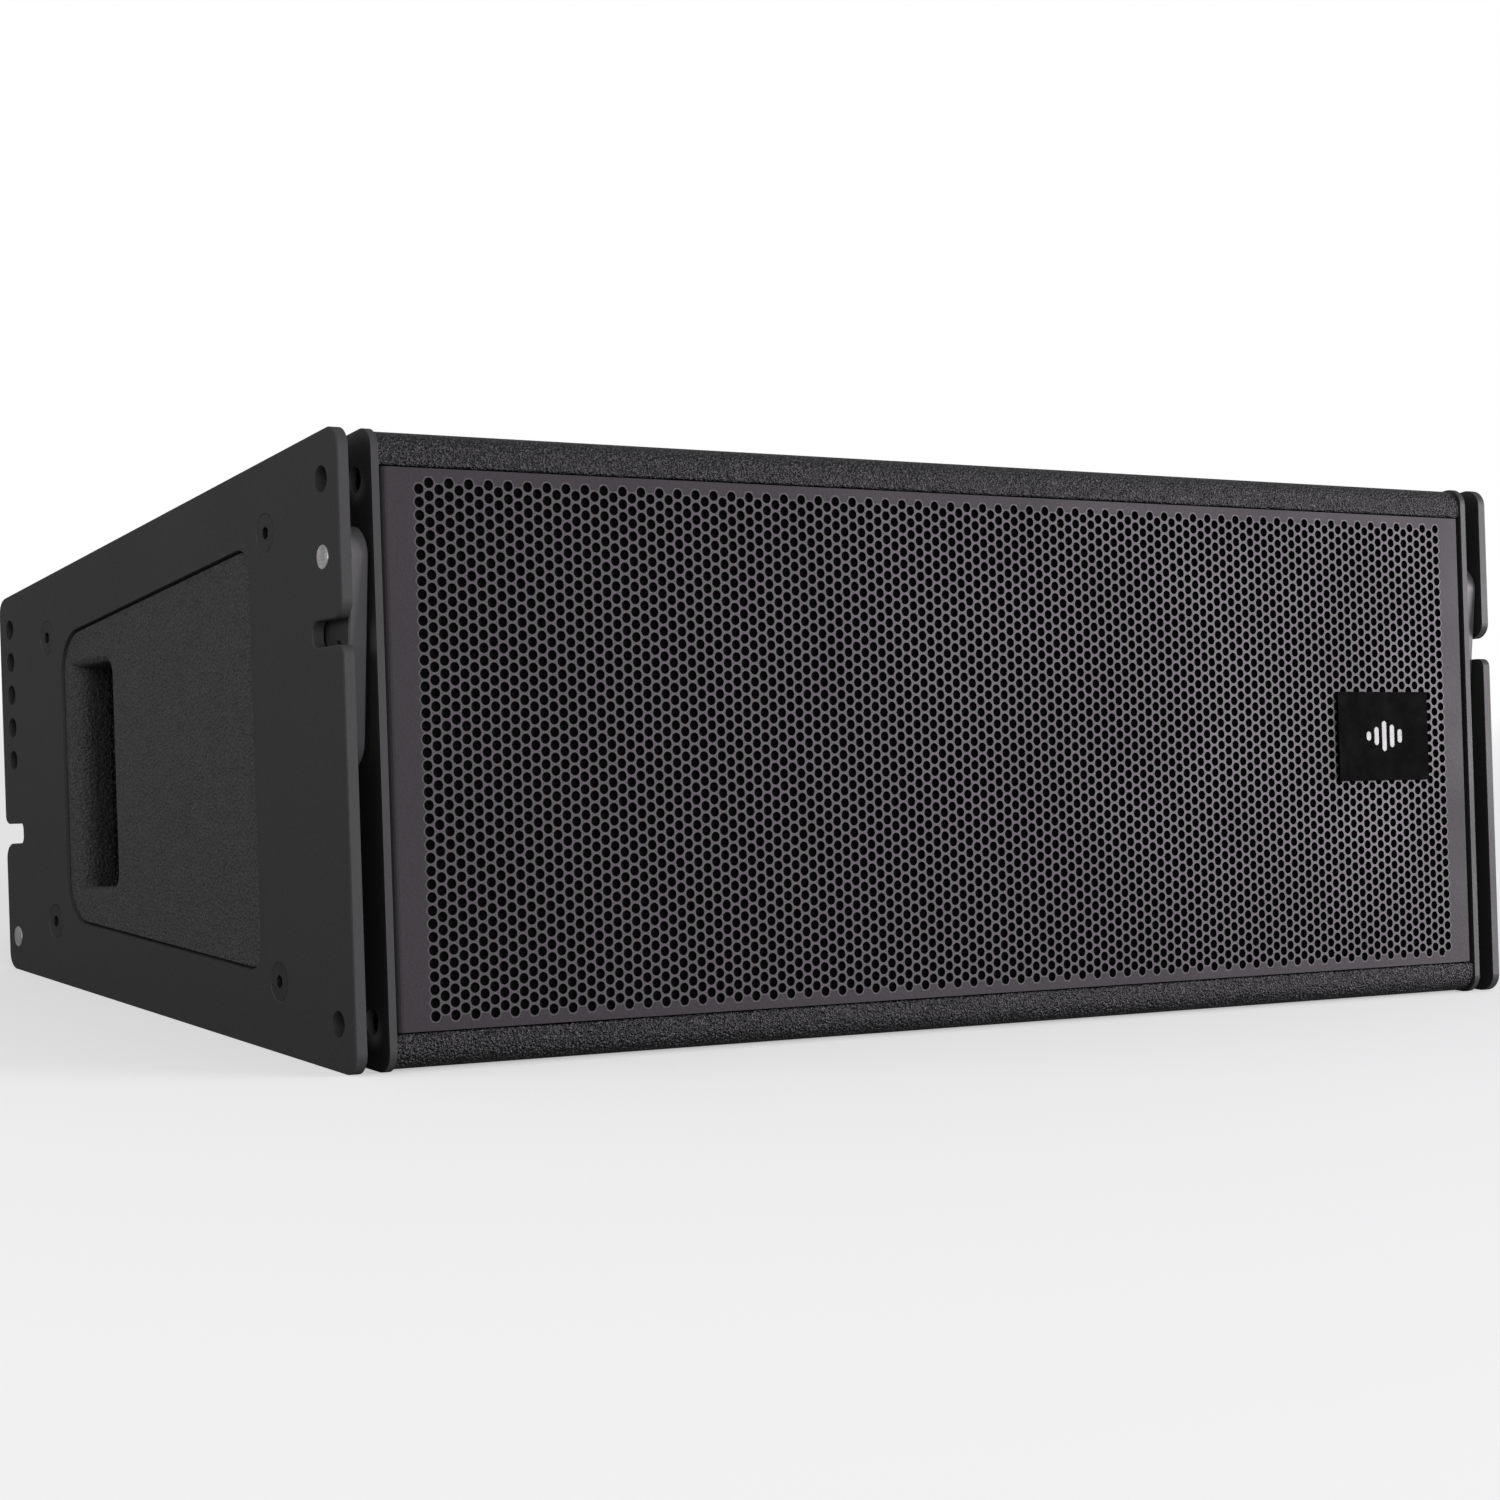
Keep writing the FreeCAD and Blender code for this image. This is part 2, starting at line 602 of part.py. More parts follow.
def link(name, side, end, lean, bores):
    """A flat bar with round ends that turns on a rivet.

    lean is the angle in degrees that turns the bar from straight up into its stowed place
    (positive towards the front); bores are (aside, distance from the rivet, radius).
    """
    body = new_body(name)
    half = f"dims.{end}_link_half"
    reach = f"dims.{end}_link_reach"
    outer = "dims.width / 2 - dims.outer_plate - (dims.link_gap - dims.link) / 2"
    face = low_face(side, outer, "dims.link")
    # The bar is drawn from the rivet up; its ends are full rounds.
    corners = [(f"-({half})", f"-({half})"), (half, f"-({half})"), (half, f"{reach} + {half}")]
    corners.append((f"-({half})", f"{reach} + {half}"))
    board(body, name, corners, face, "dims.link")
    drilled(body, name + "_bores", "YZ_Plane", bores, face, "dims.link")
    dress(body, "Fillet", name + "_ends", f"{half} - 0.01", upright_edge_at(corners))
    faces = [value(face), value(face) + value("dims.link")]

    def rim(edge):
        flat = edge.BoundBox.XLength < 0.01 and min(abs(edge.CenterOfMass.x - x) for x in faces) < 0.01
        full = edge.Curve.TypeId == "Part::GeomCircle" and edge.Curve.Radius < value(half) - 1
        return flat and not full

    dress(body, "Chamfer", name + "_rims", "dims.link_chamfer", rim)
    turn = FreeCAD.Rotation(X_AXIS, value(lean))
    body.Placement = FreeCAD.Placement(FreeCAD.Vector(), turn)
    body.setExpression("Placement.Base.y", f"dims.{end}_pivot_along")
    body.setExpression("Placement.Base.z", f"dims.{end}_pivot_high")
    return finish(name, body)


def links(label, side):
    """The two links of a side, in their stowed places."""
    pivot = ("0", "0", "dims.rivet + dims.link_play")
    front_bores = [
        pivot,
        ("dims.lanyard_aside", "dims.lanyard_along", "dims.lanyard_bore"),
        ("0", "dims.front_link_reach", "dims.pin_bore"),
    ]
    # Hanging: straight down once the enclosure stands, so it leans back by the rake.
    link(label + "_front_link", side, "front", "180 + dims.rake_deg", front_bores)
    rear_bores = [pivot, ("0", "dims.rear_link_reach", "dims.splay_bore")]
    link(label + "_rear_link", side, "rear", "dims.rear_link_lean_deg", rear_bores)


# ---------------------------------------------------------------- cabinet


def long_panel(name, sign):
    """The top (sign 1) or bottom (sign -1) panel, with its bullnosed front edge."""
    body = new_body(name)
    rear = "dims.cabinet_rear"
    corners = [
        ("0", f"{sign} * {cabinet_room('0')}"),
        ("0", f"{sign} * {cabinet_top('0')}"),
        (rear, f"{sign} * {cabinet_top(rear)}"),
        (rear, f"{sign} * {cabinet_room(rear)}"),
    ]
    board(body, name, corners, f"-{CABINET_SIDE}", f"2 * {CABINET_SIDE}")
    rings = [("dims.pin_front", f"{sign} * dims.pin_high", "dims.pin_bore + dims.pin_play")]
    if sign > 0:
        rings.append(("dims.splay_rear", splay_high(0), "dims.splay_bore + dims.pin_play"))
    for label, face in (("left", f"-{CABINET_SIDE}"), ("right", f"{CABINET_SIDE} - dims.pin_pocket")):
        for k, ring in enumerate(rings, start=1):
            hollow = f"{name}_{label}_pin_pocket_{k}"
            opened(body, hollow, "YZ_Plane", square_about(ring), face, "dims.pin_pocket")
    dress(body, "Fillet", name + "_bullnose", "dims.bullnose", upright_edge_at([corners[1]]))
    dress(body, "Fillet", name + "_ease", "dims.panel_ease", upright_edge_at([corners[0]]))
    dress(body, "Fillet", name + "_heel", "dims.panel_heel", upright_edge_at([corners[2]]))
    finish(name, body)


GRIP_MOUTH = [
    ("dims.grip_front", "-dims.grip_half"),
    ("dims.grip_rear", "-dims.grip_half"),
    ("dims.grip_rear", "dims.grip_half"),
    ("dims.grip_front", "dims.grip_half"),
]


def side_panel(name, side):
    """A cabinet side with the hand slot, the tee nut holes and square blind pockets for pin tips."""
    body = new_body(name)
    front, rear = "dims.side_front", "dims.cabinet_rear"
    face = low_face(side, CABINET_SIDE, "dims.panel")
    corners = [
        (front, f"-{cabinet_room(front)}"),
        (rear, f"-{cabinet_room(rear)}"),
        (rear, cabinet_room(rear)),
        (front, cabinet_room(front)),
    ]
    board(body, name, corners, face, "dims.panel")
    opened(body, name + "_hand_slot", "YZ_Plane", GRIP_MOUTH, face, "dims.panel")
    rings = [(along, high, "dims.nut_barrel + dims.nut_play") for along, high in screw_spots()]
    drilled(body, name + "_nut_holes", "YZ_Plane", rings, face, "dims.panel")
    blind = f"-{CABINET_SIDE}" if side < 0 else f"{CABINET_SIDE} - dims.pin_pocket"
    for k, ring in enumerate(pin_spots("dims.pin_play"), start=1):
        hollow = f"{name}_pin_pocket_{k}"
        opened(body, hollow, "YZ_Plane", square_about(ring), blind, "dims.pin_pocket")
    dress(body, "Fillet", name + "_slot_corners", "dims.grip_corner", upright_edge_at(GRIP_MOUTH))
    finish(name, body)


def oblong(wide, tall):
    """The corners of a centred rectangle of a half width and a half height."""
    return [(f"-{wide}", f"-{tall}"), (wide, f"-{tall}"), (wide, tall), (f"-{wide}", tall)]


def rear_panel():
    """The recessed rear board with a cut-out behind the connector plate."""
    name = "cabinet_rear_panel"
    body = new_body(name)
    rear = "(dims.cabinet_rear - dims.rear_recess)"
    front = f"({rear} - dims.panel)"
    inside = f"({CABINET_SIDE} - dims.panel)"
    corners = [
        (front, f"-{cabinet_room(front)}"),
        (rear, f"-{cabinet_room(rear)}"),
        (rear, cabinet_room(rear)),
        (front, cabinet_room(front)),
    ]
    board(body, name, corners, f"-{inside}", f"2 * {inside}")
    wide, tall = "dims.cutout_half_wide", "dims.cutout_half_tall"
    # An XZ sketch's normal points to the front, so it starts at the rear face.
    opened(body, name + "_cutout", "XZ_Plane", oblong(wide, tall), f"-{rear}", "dims.panel")
    finish(name, body)


def front_baffle():
    """The board that carries the woofers and the waveguide."""
    name = "front_baffle"
    body = new_body(name)
    front, rear = "dims.baffle_front", "(dims.baffle_front + dims.panel)"
    inside = f"({CABINET_SIDE} - dims.panel)"
    corners = [
        (front, f"-{cabinet_room(front)}"),
        (rear, f"-{cabinet_room(rear)}"),
        (rear, cabinet_room(rear)),
        (front, cabinet_room(front)),
    ]
    board(body, name, corners, f"-{inside}", f"2 * {inside}")
    rings = [(f"{side} * dims.woofer_offset", "0", "dims.woofer_cutout") for label, side in SIDES]
    drilled(body, name + "_woofer_holes", "XZ_Plane", rings, f"-{rear}", "dims.panel")
    wide, tall = "(dims.horn_half_wide + dims.horn_clear)", "(dims.horn_half_tall + dims.horn_clear)"
    opened(body, name + "_horn_hole", "XZ_Plane", oblong(wide, tall), f"-{rear}", "dims.panel")
    finish(name, body)


def chamber_divider(name, side):
    """A board between the high frequency chamber and a woofer chamber."""
    body = new_body(name)
    front = "(dims.baffle_front + dims.panel)"
    rear = "(dims.cabinet_rear - dims.rear_recess - dims.panel)"
    corners = [
        (front, f"-{cabinet_room(front)}"),
        (rear, f"-{cabinet_room(rear)}"),
        (rear, cabinet_room(rear)),
        (front, cabinet_room(front)),
    ]
    face = low_face(side, "dims.divider_inner + dims.divider", "dims.divider")
    board(body, name, corners, face, "dims.divider")
    drilled(body, name + "_wire_hole", "YZ_Plane", [("195", "-60", "dims.wire_hole")], face, "dims.divider")
    finish(name, body)


def damping_foam():
    """Absorbing slabs at the back of both woofer chambers."""
    slabs = []
    rear = "(dims.cabinet_rear - dims.rear_recess - dims.panel)"
    near = "(dims.divider_inner + dims.divider + dims.slab_gap)"
    far = f"({CABINET_SIDE} - dims.panel - dims.slab_gap)"
    for label, side in SIDES:
        low, high = (f"-{far}", f"-{near}") if side < 0 else (near, far)
        front_corner = (low, f"{rear} - dims.slab_thick", "-dims.slab_half")
        slabs.append(block(f"foam_{label}", front_corner, (high, rear, "dims.slab_half")))
    finish("damping_foam", group("damping_foam", slabs))


# ---------------------------------------------------------------- handles


def handle_block(name, side):
    """The textured block that fills the plate windows, with the mouth of the hand pocket."""
    body = new_body(name)
    outer = "(dims.width / 2 - dims.block_gap)"
    thick = f"({outer} - {CABINET_SIDE})"
    face = low_face(side, outer, thick)
    corners = window_corners("dims.block_gap")
    board(body, name, corners, face, thick)
    opened(body, name + "_mouth", "YZ_Plane", GRIP_MOUTH, face, thick)
    nose, tail = upright_edge_at([corners[0], corners[3]]), upright_edge_at([corners[1], corners[2]])
    dress(body, "Fillet", name + "_nose", "dims.window_nose - dims.block_gap", nose)
    dress(body, "Fillet", name + "_tail", "dims.window_tail - dims.block_gap", tail)
    mouth_front = upright_edge_at([GRIP_MOUTH[0], GRIP_MOUTH[3]])
    dress(body, "Fillet", name + "_mouth_corners", "dims.grip_corner", mouth_front)
    at_face = side * value(outer)
    rear, half = value("dims.grip_rear"), value("dims.grip_half")

    def on_face(edge):
        return all(abs(corner.X - at_face) < 0.01 for corner in edge.Vertexes)

    def rear_edge(edge):
        middle = edge.CenterOfMass
        return on_face(edge) and abs(middle.y - rear) < 0.01 and abs(middle.z) < half

    def end_edges(edge):
        middle = edge.CenterOfMass
        return on_face(edge) and abs(abs(middle.z) - half) < 0.01 and middle.y < rear

    dress(body, "Fillet", name + "_mouth_ramp", "dims.grip_ramp", rear_edge)
    dress(body, "Fillet", name + "_mouth_ends", "dims.grip_round", end_edges)
    finish(name, body)


def handle_cup(name, side):
    """The moulded cup that closes the hand pocket inside the cabinet."""
    inner_face = f"({CABINET_SIDE} - dims.panel)"
    wall = "dims.cup_wall"

    def slab(part, near, far, margin):
        low, high = (f"-({far})", f"-({near})") if side < 0 else (near, far)
        return block(
            f"{name}_{part}",
            (low, f"dims.grip_front - {margin}", f"-dims.grip_half - {margin}"),
            (high, f"dims.grip_rear + {margin}", f"dims.grip_half + {margin}"),
        )

    bowl = slab("bowl", f"{inner_face} - dims.cup_deep", inner_face, wall)
    flange = slab("flange", f"{inner_face} - {wall}", inner_face, "dims.cup_flange")
    hollow = slab("hollow", f"{inner_face} - dims.cup_deep + {wall}", inner_face, "0")
    finish(name, cut(name, join(name + "_blank", bowl, flange), hollow))


# ---------------------------------------------------------------- grille


def grille():
    """The front sheet with its folded sides, drawn without its perforation."""
    body = new_body("grille")
    wide, sheet_t, deep = "dims.grille_half_wide", "dims.grille_sheet", "dims.side_front"
    inside = f"({wide} - {sheet_t})"
    corners = [
        (f"-{wide}", "0"),
        (wide, "0"),
        (wide, deep),
        (inside, deep),
        (inside, sheet_t),
        (f"-{inside}", sheet_t),
        (f"-{inside}", deep),
        (f"-{wide}", deep),
    ]
    sketch = outline(body, "grille_outline", "XY_Plane", corners, "-dims.grille_half_tall")
    pad(body, "grille_sheet", sketch, "2 * dims.grille_half_tall")
    inner_bends = upright_edge_at([corners[4], corners[5]], "z")
    outer_bends = upright_edge_at([corners[0], corners[1]], "z")
    dress(body, "Fillet", "grille_inner_bend", "dims.grille_bend - dims.grille_sheet", inner_bends)
    dress(body, "Fillet", "grille_outer_bend", "dims.grille_bend", outer_bends)
    finish("grille", body)


def grille_trim():
    """The foam behind the grille and the plain badge on it."""
    wide, tall = "dims.foam_half_wide", "dims.foam_half_tall"
    low = (f"-{wide}", "dims.grille_sheet", f"-{tall}")
    finish("grille_foam", block("grille_foam", low, (wide, "dims.side_front", tall)))
    across, high = "dims.badge_across", "dims.badge_high"
    wide, tall = "dims.badge_wide / 2", "dims.badge_tall / 2"
    plain = block(
        "badge_blank",
        (f"{across} - {wide}", "-dims.badge_thick", f"{high} - {tall}"),
        (f"{across} + {wide}", "0", f"{high} + {tall}"),
    )
    soft = doc.addObject("Part::Fillet", "badge")
    soft.Base = plain
    doc.recompute()
    radius = value("dims.badge_corner")
    for n, edge in enumerate(plain.Shape.Edges, start=1):
        if abs(edge.tangentAt(edge.FirstParameter).y) > 0.99:
            soft.Edges += [(n, radius, radius)]
    finish("badge", soft)


# ---------------------------------------------------------------- woofers


def woofer_frame(name, centre):
    """Cast frame: flange, open basket with six ribs, and the seat of the motor."""
    y0 = "dims.baffle_front"
    rim = "dims.woofer_flange"
    profile = [
        ("108", f"{y0} - dims.flange_proud"),
        (rim, f"{y0} - dims.flange_proud"),
        (rim, y0),
        ("114", y0),
        ("82", f"{y0} + 58"),
        ("72", f"{y0} + 70"),
        ("34", f"{y0} + 70"),
        ("34", f"{y0} + 66"),
        ("68", f"{y0} + 66"),
        ("78", f"{y0} + 55"),
        ("108", f"{y0} + 1"),
    ]
    basket = revolved(name + "_basket", profile, centre)
    openings = []
    for i in range(6):
        pane = primitive(
            "Box",
            f"{name}_pane_{i}",
            at=(centre[0], f"{y0} + 10", centre[1]),
            turn=FreeCAD.Rotation(Y_AXIS, 60 * i),
            Length="130",
            Width="42",
            Height="64",
        )
        pane.setExpression("Placement.Base.x", f"({centre[0]}) - 32 * {math.sin(math.radians(60 * i)):.6f}")
        pane.setExpression("Placement.Base.z", f"({centre[1]}) - 32 * {math.cos(math.radians(60 * i)):.6f}")
        openings.append(pane)
    finish(name, cut(name, basket, *openings))


def woofer(label, side):
    """The pieces of one ten inch woofer, along Y from the baffle's face to the rear."""
    centre = (f"{side} * dims.woofer_offset", "0")
    y0 = "dims.baffle_front"
    key = label + "_woofer_"
    woofer_frame(key + "frame", centre)
    cone = [
        ("92", f"{y0} - 5"),
        ("98", f"{y0} - 5"),
        ("98", f"{y0} - 4"),
        ("93", f"{y0} - 4"),
        ("25.6", f"{y0} + 42"),
        ("25.6", f"{y0} + 40"),
    ]
    finish(key + "cone", revolved(key + "cone", cone, centre))
    cap = [
        ("0", f"{y0} + 20"),
        ("20", f"{y0} + 24"),
        ("38", f"{y0} + 31.4"),
        ("37.4", f"{y0} + 32.1"),
        ("20", f"{y0} + 25.5"),
        ("0", f"{y0} + 21.5"),
    ]
    finish(key + "dust_cap", revolved(key + "dust_cap", cap, centre))
    rolls = []
    for part, radius in (("outside", "dims.roll_radius"), ("inside", "dims.roll_radius - dims.skin")):
        ring = primitive(
            "Torus",
            f"{key}roll_{part}",
            at=(centre[0], f"{y0} - dims.flange_proud", centre[1]),
            turn=FreeCAD.Rotation(X_AXIS, 90),
            Radius1="dims.roll_middle",
            Radius2=radius,
            Angle1="0",
            Angle2="180",
        )
        rolls.append(ring)
    lip_at = (centre[0], f"{y0} - dims.flange_proud", centre[1])
    lip_in = tube(key + "surround_inner_lip", "99.2", "93", "dims.skin", lip_at)
    lip_at = (centre[0], f"{y0} - dims.flange_proud - dims.skin", centre[1])
    lip_out = tube(key + "surround_outer_lip", "114", "107", "dims.skin", lip_at)
    finish(key + "surround", join(key + "surround", cut(key + "roll", *rolls), lip_in, lip_out))
    front, back = [], []
    for n in range(9):
        radius, depth = f"{25.6 + 6.5 * n}", 53.5 if n % 2 else 52
        front.append((radius, f"{y0} + {depth}"))
        back.insert(0, (radius, f"{y0} + {depth} + dims.skin"))
    finish(key + "spider", revolved(key + "spider", front + back, centre))
    former, wire = "dims.coil_inside", "26"
    coil = [
        (former, f"{y0} + 36"),
        (f"{former} + 0.4", f"{y0} + 36"),
        (f"{former} + 0.4", f"{y0} + 68"),
        (wire, f"{y0} + 68"),
        (wire, f"{y0} + 82"),
        (former, f"{y0} + 82"),
    ]
    finish(key + "voice_coil", revolved(key + "voice_coil", coil, centre))
    magnet_at = (centre[0], f"{y0} + 78", centre[1])
    finish(key + "magnet", tube(key + "magnet", "74", "36", "20", magnet_at))
    top = tube(key + "top_plate", "68", "27", "8", (centre[0], f"{y0} + 70", centre[1]))
    disc = rod(key + "yoke_disc", "70", "8", (centre[0], f"{y0} + 98", centre[1]))
    pole = rod(key + "yoke_pole", "24", "28", (centre[0], f"{y0} + 70", centre[1]))
    vent = rod(key + "yoke_vent", "8", "36", (centre[0], f"{y0} + 70", centre[1]))
    yoke = cut(key + "yoke", join(key + "yoke_blank", disc, pole), vent)
    return top, yoke


def woofers():
    """Both woofers; their top plates and yokes are two of a kind and share a node each."""
    made = [woofer(label, side) for label, side in SIDES]
    finish("woofer_top_plates", group("woofer_top_plates", [top for top, yoke in made]))
    finish("woofer_yokes", group("woofer_yokes", [yoke for top, yoke in made]))


def baffle_screws():
    """Pan head screws of the woofers and of the waveguide."""
    screws = []
    places = []
    for label, side in SIDES:
        for i in range(8):
            angle = math.radians(22.5 + 45 * i)
            ring = "dims.woofer_pcd_radius"
            x = f"{side} * dims.woofer_offset + {ring} * {math.cos(angle):.6f}"
            places.append((x, f"{ring} * {math.sin(angle):.6f}"))
    for sx in (-1, 1):
        for sz in (-1, 0, 1):
            places.append((f"{sx} * (dims.horn_flange_wide - 4.5)", f"{sz} * (dims.horn_flange_tall - 30)"))
    for i, (x, z) in enumerate(places):
        seat = "dims.baffle_front - dims.flange_proud"
        head = rod(f"baffle_screw_head_{i}", "3.5", "2.4", (x, f"{seat} - 2.4", z))
        shank = rod(f"baffle_screw_shank_{i}", "1.8", "20", (x, seat, z))
        screws.append(join(f"baffle_screw_{i}", head, shank))
    finish("baffle_screws", group("baffle_screws", screws))
    return places


def drill(target_name, places):
    """Clear the baffle screws' holes through a finished sub-part and the same way on."""
    target = finished.pop(target_name)
    bores = [
        rod(f"{target_name}_hole_{i}", "1.85", "24", (x, "dims.baffle_front - 8", z))
        for i, (x, z) in enumerate(places)
    ]
    target.Label = target_name + "_undrilled"
    finish(target_name, cut(target_name + "_drilled", target, *bores))


# ---------------------------------------------------------------- high frequency section


def frustum(name, front, rear, front_half, rear_half):
    """A four sided taper between two upright rectangles, given as (half wide, half tall)."""
    return primitive(
        "Wedge",
        name,
        Xmin=f"-({front_half[0]})",
        Xmax=front_half[0],
        Zmin=f"-({front_half[1]})",
        Zmax=front_half[1],
        Ymin=front,
        Ymax=rear,
        X2min=f"-({rear_half[0]})",
        X2max=rear_half[0],
        Z2min=f"-({rear_half[1]})",
        Z2max=rear_half[1],
    )


def waveguide():
    """The horn: flange, tapering walls and a throat plate for two drivers."""
    front = "(dims.baffle_front - dims.flange_proud)"
    throat = f"({front} + dims.horn_deep)"
    wide, tall, wall = "dims.horn_half_wide", "dims.horn_half_tall", "dims.horn_wall"
    outside = (f"{wide} + {wall}", f"{tall} + {wall}")
    walls = frustum("horn_walls", front, throat, outside, (f"dims.throat + {wall}", "98"))
    air = frustum("horn_air", front, throat, (wide, tall), ("dims.throat", "92"))
    flange = block(
        "horn_flange",
        ("-dims.horn_flange_wide", front, "-dims.horn_flange_tall"),
        ("dims.horn_flange_wide", "dims.baffle_front", "dims.horn_flange_tall"),
    )
    thick = "dims.throat_plate"
    plate = block("horn_throat_plate", ("-32", throat, "-100"), ("32", f"{throat} + {thick}", "100"))
    throats = [
        rod(f"horn_throat_{s}", "dims.throat", thick, ("0", throat, f"{s} * dims.driver_spacing"))
        for s in (-1, 1)
    ]
    finish("hf_waveguide", cut("hf_waveguide", join("horn_blank", walls, flange, plate), air, *throats))


def compression_driver(label, sign):
    """One compression driver: motor with its throat, and rear cover."""
    start = "(dims.baffle_front - dims.flange_proud + dims.horn_deep + dims.throat_plate)"
    centre = ("0", f"{sign} * dims.driver_spacing")
    key = label + "_driver_"
    motor = [
        ("dims.throat", start),
        ("28", start),
        ("28", f"{start} + 6"),
        ("dims.driver_radius", f"{start} + 6"),
        ("dims.driver_radius", f"{start} + 38"),
        ("30", f"{start} + 38"),
        ("22", f"{start} + 33"),
        ("dims.throat", f"{start} + 31"),
    ]
    finish(key + "motor", revolved(key + "motor", motor, centre))
    cover = [
        ("30.5", f"{start} + 38"),
        ("42", f"{start} + 38"),
        ("42", f"{start} + 50"),
        ("36", f"{start} + 56"),
        ("0", f"{start} + 56"),
        ("0", f"{start} + 53"),
        ("30.5", f"{start} + 53"),
    ]
    finish(key + "cover", revolved(key + "cover", cover, centre))


def crossover():
    """Passive crossover board with its parts, on the left divider."""
    face, gap, sheet_t = "-(dims.divider_inner)", "10", "1.6"
    board_x = f"({face} + {gap})"
    front, half = "dims.board_front", "dims.board_half"
    rear = f"({front} + dims.board_long)"
    top = f"({board_x} + {sheet_t})"
    card = block("crossover_sheet", (board_x, front, f"-{half}"), (top, rear, half))
    corners = [(y, z) for y in (f"{front} + 8", f"{rear} - 8") for z in (f"8 - {half}", f"{half} - 8")]
    holes, posts = [], []
    for i, (y, z) in enumerate(corners):
        holes.append(rod(f"crossover_hole_{i}", "1.6", sheet_t, (board_x, y, z), ALONG_X))
        posts.append(rod(f"standoff_{i}", "4", gap, (face, y, z), ALONG_X))
    finish("crossover_board", cut("crossover_board", card, *holes))
    finish("crossover_standoffs", group("crossover_standoffs", posts))
    coils = [
        tube(f"inductor_{i}", "22", "11", "20", (top, f"{front} + {30 + 50 * i}", "-22"), ALONG_X)
        for i in range(3)
    ]
    finish("crossover_inductors", group("crossover_inductors", coils))
    cans = [
        rod(f"capacitor_{i}", "9", "34", (f"{top} + 9", f"{front} + {14 + 42 * i}", "22")) for i in range(4)
    ]
    finish("crossover_capacitors", group("crossover_capacitors", cans))
    bars = [
        block(
            f"resistor_{i}",
            (top, f"{front} + {30 + 34 * i}", "38"),
            (f"{top} + 9", f"{front} + {56 + 34 * i}", "47"),
        )
        for i in range(3)
    ]
    finish("crossover_resistors", group("crossover_resistors", bars))


def connectors():
    """The rear connector plate with an input and a link socket."""
    face = "(dims.cabinet_rear - dims.rear_recess)"
    wide, tall, thick = "dims.connector_half_wide", "dims.connector_half_tall", "dims.connector_sheet"
    sheet_metal = block("connector_blank", (f"-{wide}", face, f"-{tall}"), (wide, f"{face} + {thick}", tall))
    sockets = (("input_socket", "-dims.socket_offset"), ("link_socket", "dims.socket_offset"))
    room = "dims.socket_body + dims.socket_play"
    holes = [rod(name + "_hole", room, thick, (x, face, "0")) for name, x in sockets]
    corners = [(f"{sx} * ({wide} - 7)", f"{sz} * ({tall} - 7)") for sx in (-1, 1) for sz in (-1, 1)]
    drills = [rod(f"connector_drill_{i}", "2", thick, (x, face, z)) for i, (x, z) in enumerate(corners)]
    finish("connector_plate", cut("connector_plate", sheet_metal, *holes, *drills))
    proud = f"{face} + dims.socket_flange"
    for name, x in sockets:
        back = (x, f"{face} - dims.socket_deep_in", "0")
        barrel = rod(name + "_barrel", "dims.socket_body", f"dims.socket_deep_in + {thick}", back)
        low, high = (f"{x} - 15", f"{face} + {thick}", "-17"), (f"{x} + 15", proud, "17")
        flange = block(name + "_flange", low, high)
        well_at = (x, f"{proud} - dims.well_deep", "0")
        well = rod(name + "_well", "dims.socket_well", "dims.well_deep", well_at)
        finish(name, cut(name, join(name + "_blank", barrel, flange), well))
    screws = []
    for i, (x, z) in enumerate(corners):
        head = rod(f"connector_screw_head_{i}", "3.5", "1.8", (x, f"{face} + {thick}", z))
        shank = rod(f"connector_screw_shank_{i}", "1.9", thick, (x, face, z))
        screws.append(join(f"connector_screw_{i}", head, shank))
    finish("connector_plate_screws", group("connector_plate_screws", screws))


# ---------------------------------------------------------------- build, stand and write


def build():
    """Every sub-part, in the enclosure's own frame."""
    for label, side in SIDES:
        plates(label, side)
        links(label, side)
        handle_block(label + "_handle_block", side)
        handle_cup(label + "_handle_cup", side)
        side_panel(f"cabinet_{label}_panel", side)
        chamber_divider(label + "_chamber_divider", side)
    plate_hardware()
    long_panel("cabinet_top_panel", 1)
    long_panel("cabinet_bottom_panel", -1)
    rear_panel()
    front_baffle()
    damping_foam()
    grille()
    grille_trim()
    woofers()
    waveguide()
    for label, sign in (("upper", 1), ("lower", -1)):
        compression_driver(label, sign)
    places = baffle_screws()
    drill("front_baffle", places)
    drill("hf_waveguide", places[16:])
    drill("left_woofer_frame", places[:8])
    drill("right_woofer_frame", places[8:16])
    crossover()
    connectors()


def stand():
    """Lean every sub-part back onto the lower plate edges, over the origin."""
    turn = FreeCAD.Rotation(X_AXIS, -value("dims.rake_deg"))
    lean = FreeCAD.Placement(FreeCAD.Vector(), turn)
    plate = finished["left_outer_plate"].Shape.copy()
    plate.Placement = lean.multiply(plate.Placement)
    box = plate.optimalBoundingBox(False)
    shift = FreeCAD.Vector(0, -(box.YMin + box.YMax) / 2, -box.ZMin)
    place = FreeCAD.Placement(shift, turn)
    for thing in finished.values():
        local = thing.Placement
        for axis in "xyz":
            thing.setExpression(f"Placement.Base.{axis}", None)
        thing.Placement = place.multiply(local)
    return place


